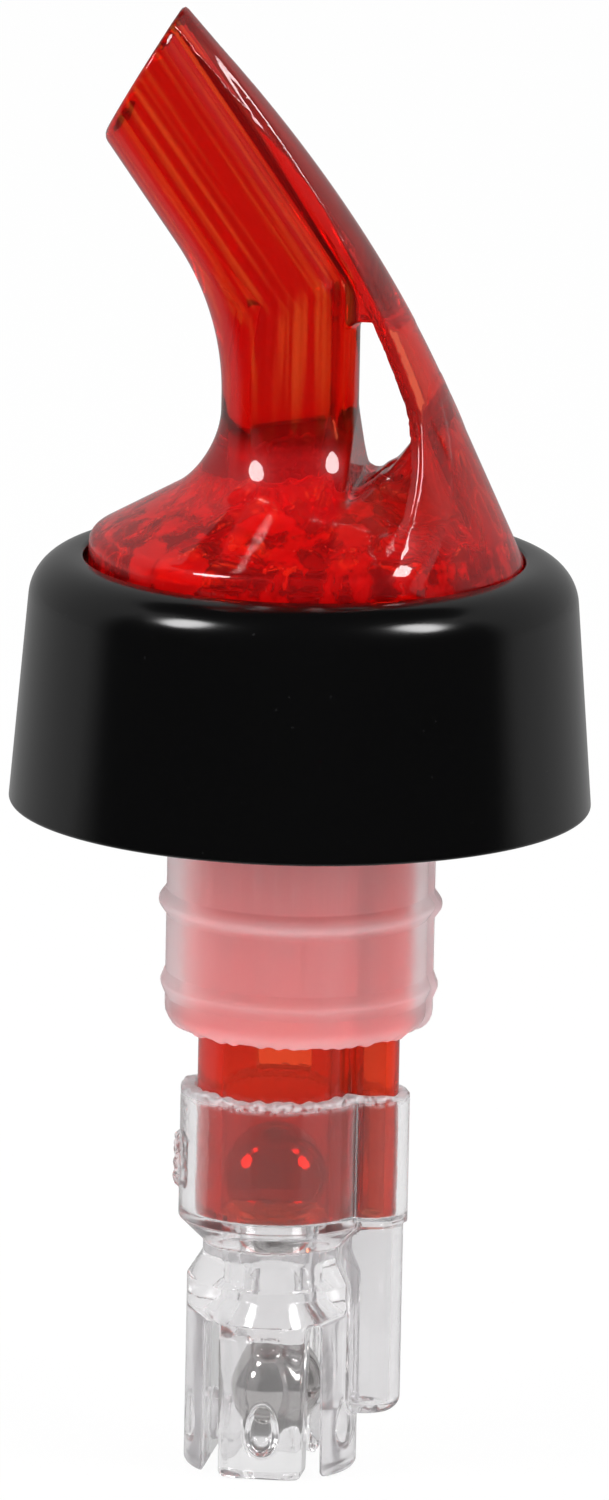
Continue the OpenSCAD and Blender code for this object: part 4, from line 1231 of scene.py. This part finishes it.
class POURER_OT_stage(bpy.types.Operator):
    """Set the pale floor, the lamps, the dark flags and card, the white surround and the camera"""

    bl_idname = "pourer.stage"
    bl_label = "Stage"

    def execute(self, context):
        s = context.scene.pourer_stage
        self.floor(s)
        self.flags(s)
        self.surround(context.scene, s)
        size = (s.lamp_width, s.lamp_height)
        for name, side in (("left", -1), ("right", 1)):
            towards = self.direction(s.azimuth + side * s.lamp_turn, s.lamp_rise)
            self.lamp(f"soft_lamp_{name}", towards * s.lamp_distance, size, s.lamp_radiance)
            towards = self.direction(s.azimuth + side * s.lamp_turn, s.glint_rise)
            wide = (s.glint_width, s.glint_width)
            low = self.lamp(f"glint_lamp_{name}", towards * s.lamp_distance, wide, s.glint_radiance)
            low.visible_diffuse = low.visible_glossy = False
        front = self.direction(s.azimuth, 0) * s.fill_distance
        fill = self.lamp("fill_lamp", front, (s.fill_width, s.fill_width), s.fill_radiance)
        fill.visible_glossy = fill.visible_transmission = False
        self.camera(context.scene, s)
        return {"FINISHED"}

    def direction(self, azimuth, rise):
        """Direction from the object towards a place round it, with azimuth 0 in front."""
        flat = math.cos(rise)
        return Vector((flat * math.sin(azimuth), -flat * math.cos(azimuth), math.sin(rise)))

    def floor(self, s):
        """A floor that glows white to the camera, a gloss or clear plastic and is dull to other light."""
        material, wire = new_material("pale_floor")
        dull = wire.node("ShaderNodeBsdfDiffuse", None, {"Color": FLOOR_GREY})
        any_ray, level = seen(wire, s)
        close(wire, blend(s.floor_white * any_ray, dull, glowing(wire, level)))
        half, z = s.floor_size / 2, CAD_BOX[0].z
        corners = [(-half, -half, z), (half, -half, z), (half, half, z), (-half, half, z)]
        stage_mesh("floor", corners, [(0, 1, 2, 3)], material)

    def flags(self, s):
        """Dark sheets: an outline turned round the object in front, a ceiling and a card at the camera."""
        ends = s.flag_radius * math.cos(s.flag_span), FLAG_FADE * s.flag_radius
        dim = self.flag_material("dark_flag", s, s.flag_through, ends)
        top = self.flag_material("dark_ceiling", s, s.flag_through)
        black = self.flag_material("camera_card", s, s.card_through)
        low = CAD_BOX[0].z + FLAG_LIFT
        wide = [(s.flag_near, low), (s.flag_radius, low), (s.flag_radius, s.flag_height)]
        card_r, card_z = CARD_SHARE * s.flag_radius, low + FLAG_LIFT
        card = [(s.flag_near, card_z), (card_r, card_z), (card_r, s.flag_height / 2)]
        sheets = [
            ("front_flag", s.flag_span, wide, dim),
            ("ceiling_flag", math.pi, [(MM, s.flag_height), (s.ceiling_radius, s.flag_height)], top),
            ("camera_card", s.card_span, card, black),
        ]
        for name, span, outline, material in sheets:
            a = np.linspace(-span, span, SHEET_POINTS) + s.azimuth - math.pi / 2
            r, z = np.array(outline).T[:, :, None]
            points = turned(r, a, z).reshape(-1, 3)
            index = np.arange(r.size * a.size).reshape(r.size, a.size)
            quads = np.stack([index[:-1, :-1], index[:-1, 1:], index[1:, 1:], index[1:, :-1]], axis=-1)
            sheet = stage_mesh(name, points.tolist(), quads.reshape(-1, 4).tolist(), material)
            sheet.visible_camera = sheet.visible_diffuse = sheet.visible_shadow = False

    def flag_material(self, name, s, through_clear, ends=None):
        """Dark in a gloss, dim through clear plastic, faded at its ends and no shade on dull surfaces."""
        material, wire = new_material(name)
        through = wire.node("ShaderNodeLightPath", output="Is Transmission Ray")
        dull = wire.node("ShaderNodeLightPath", output="Diffuse Depth").steps(0.0, 1.0)
        dark = s.flag_in_gloss
        if ends:
            forward = wire.place(0) * math.sin(s.azimuth) - wire.place(1) * math.cos(s.azimuth)
            dark = dark + (s.in_gloss - dark) * (1 - forward.steps(*ends))
        level = dark + (through_clear - dark) * through
        close(wire, glowing(wire, level + dull * (s.ambient - level)))
        return material

    def surround(self, scene, s):
        """White to the camera, dimmer in a gloss and through clear plastic, and plain light for the rest."""
        scene.world = bpy.data.worlds.new("white_surround")
        scene.world.use_nodes = True
        scene.world.node_tree.nodes.clear()
        wire = Wire(scene.world.node_tree)
        any_ray, level = seen(wire, s)
        strength = level + s.ambient * (1 - any_ray)
        light = wire.node("ShaderNodeBackground", None, {"Color": WHITE, "Strength": strength})
        close(wire, light, kind="ShaderNodeOutputWorld")

    def lamp(self, name, place, size, radiance):
        """An elliptical lamp that faces the object. Its power is its radiance times pi times its area."""
        data = bpy.data.lights.new(name, "AREA")
        data.shape = "ELLIPSE"
        data.size, data.size_y = size
        data.energy = radiance * math.pi * math.pi / 4 * data.size * data.size_y
        lamp = bpy.data.objects.new(name, data)
        lamp.visible_camera = False
        lamp.matrix_world = Matrix.Translation(place) @ place.to_track_quat("Z", "Y").to_matrix().to_4x4()
        bpy.context.scene.collection.objects.link(lamp)
        return lamp

    def camera(self, scene, s):
        """A far camera whose lens takes in the view's height at its distance."""
        data = bpy.data.cameras.new("camera")
        data.sensor_width = SENSOR_WIDTH
        data.lens = data.sensor_width * s.distance / s.view_height
        camera = bpy.data.objects.new("camera", data)
        back = self.direction(s.azimuth, s.elevation)
        right = Vector((math.cos(s.azimuth), math.sin(s.azimuth), 0))
        turn = Matrix((right, back.cross(right), back)).transposed() @ Matrix.Rotation(s.roll, 3, "Z")
        aim = right * s.aim_x + Vector((0, 0, s.aim_z))
        camera.matrix_world = Matrix.Translation(aim + back * s.distance) @ turn.to_4x4()
        scene.collection.objects.link(camera)
        scene.camera = camera
        scene.view_settings.view_transform = "Standard"
        scene.cycles.max_bounces = scene.cycles.transmission_bounces = scene.cycles.glossy_bounces = s.bounces


SETTINGS = {
    "pourer_spout": SpoutSizes,
    "pourer_collar": CollarSizes,
    "pourer_stopper": StopperSizes,
    "pourer_tail": TailSizes,
    "pourer_finishes": Finishes,
    "pourer_stage": StageSettings,
}
STEPS = [
    POURER_OT_stage,
    POURER_OT_spout,
    POURER_OT_collar,
    POURER_OT_stopper,
    POURER_OT_tail,
    POURER_OT_balls,
]


class POURER_PT_panel(bpy.types.Panel):
    """Sizes, finishes and build steps of the pourer"""

    bl_idname = "POURER_PT_panel"
    bl_label = "Liquor pourer"
    bl_space_type = "VIEW_3D"
    bl_region_type = "UI"
    bl_category = "Pourer"

    def draw(self, context):
        for step in STEPS:
            self.layout.operator(step.bl_idname)
        for name, group in SETTINGS.items():
            box = self.layout.box()
            box.label(text=group.__doc__)
            for setting in group.__annotations__:
                box.prop(getattr(context.scene, name), setting)


def register():
    """Add the classes and the scene's settings to Blender."""
    for kind in (*SETTINGS.values(), *STEPS, POURER_PT_panel):
        bpy.utils.register_class(kind)
    for name, group in SETTINGS.items():
        setattr(bpy.types.Scene, name, PointerProperty(type=group))


def unregister():
    """Take the settings and the classes out of Blender again."""
    for name in SETTINGS:
        delattr(bpy.types.Scene, name)
    for kind in (POURER_PT_panel, *reversed(STEPS), *reversed(SETTINGS.values())):
        bpy.utils.unregister_class(kind)


def main():
    """Build the stage and the pieces in order."""
    register()
    for step in STEPS:
        group, name = step.bl_idname.split(".")
        getattr(getattr(bpy.ops, group), name)()


if __name__ == "__main__":
    main()
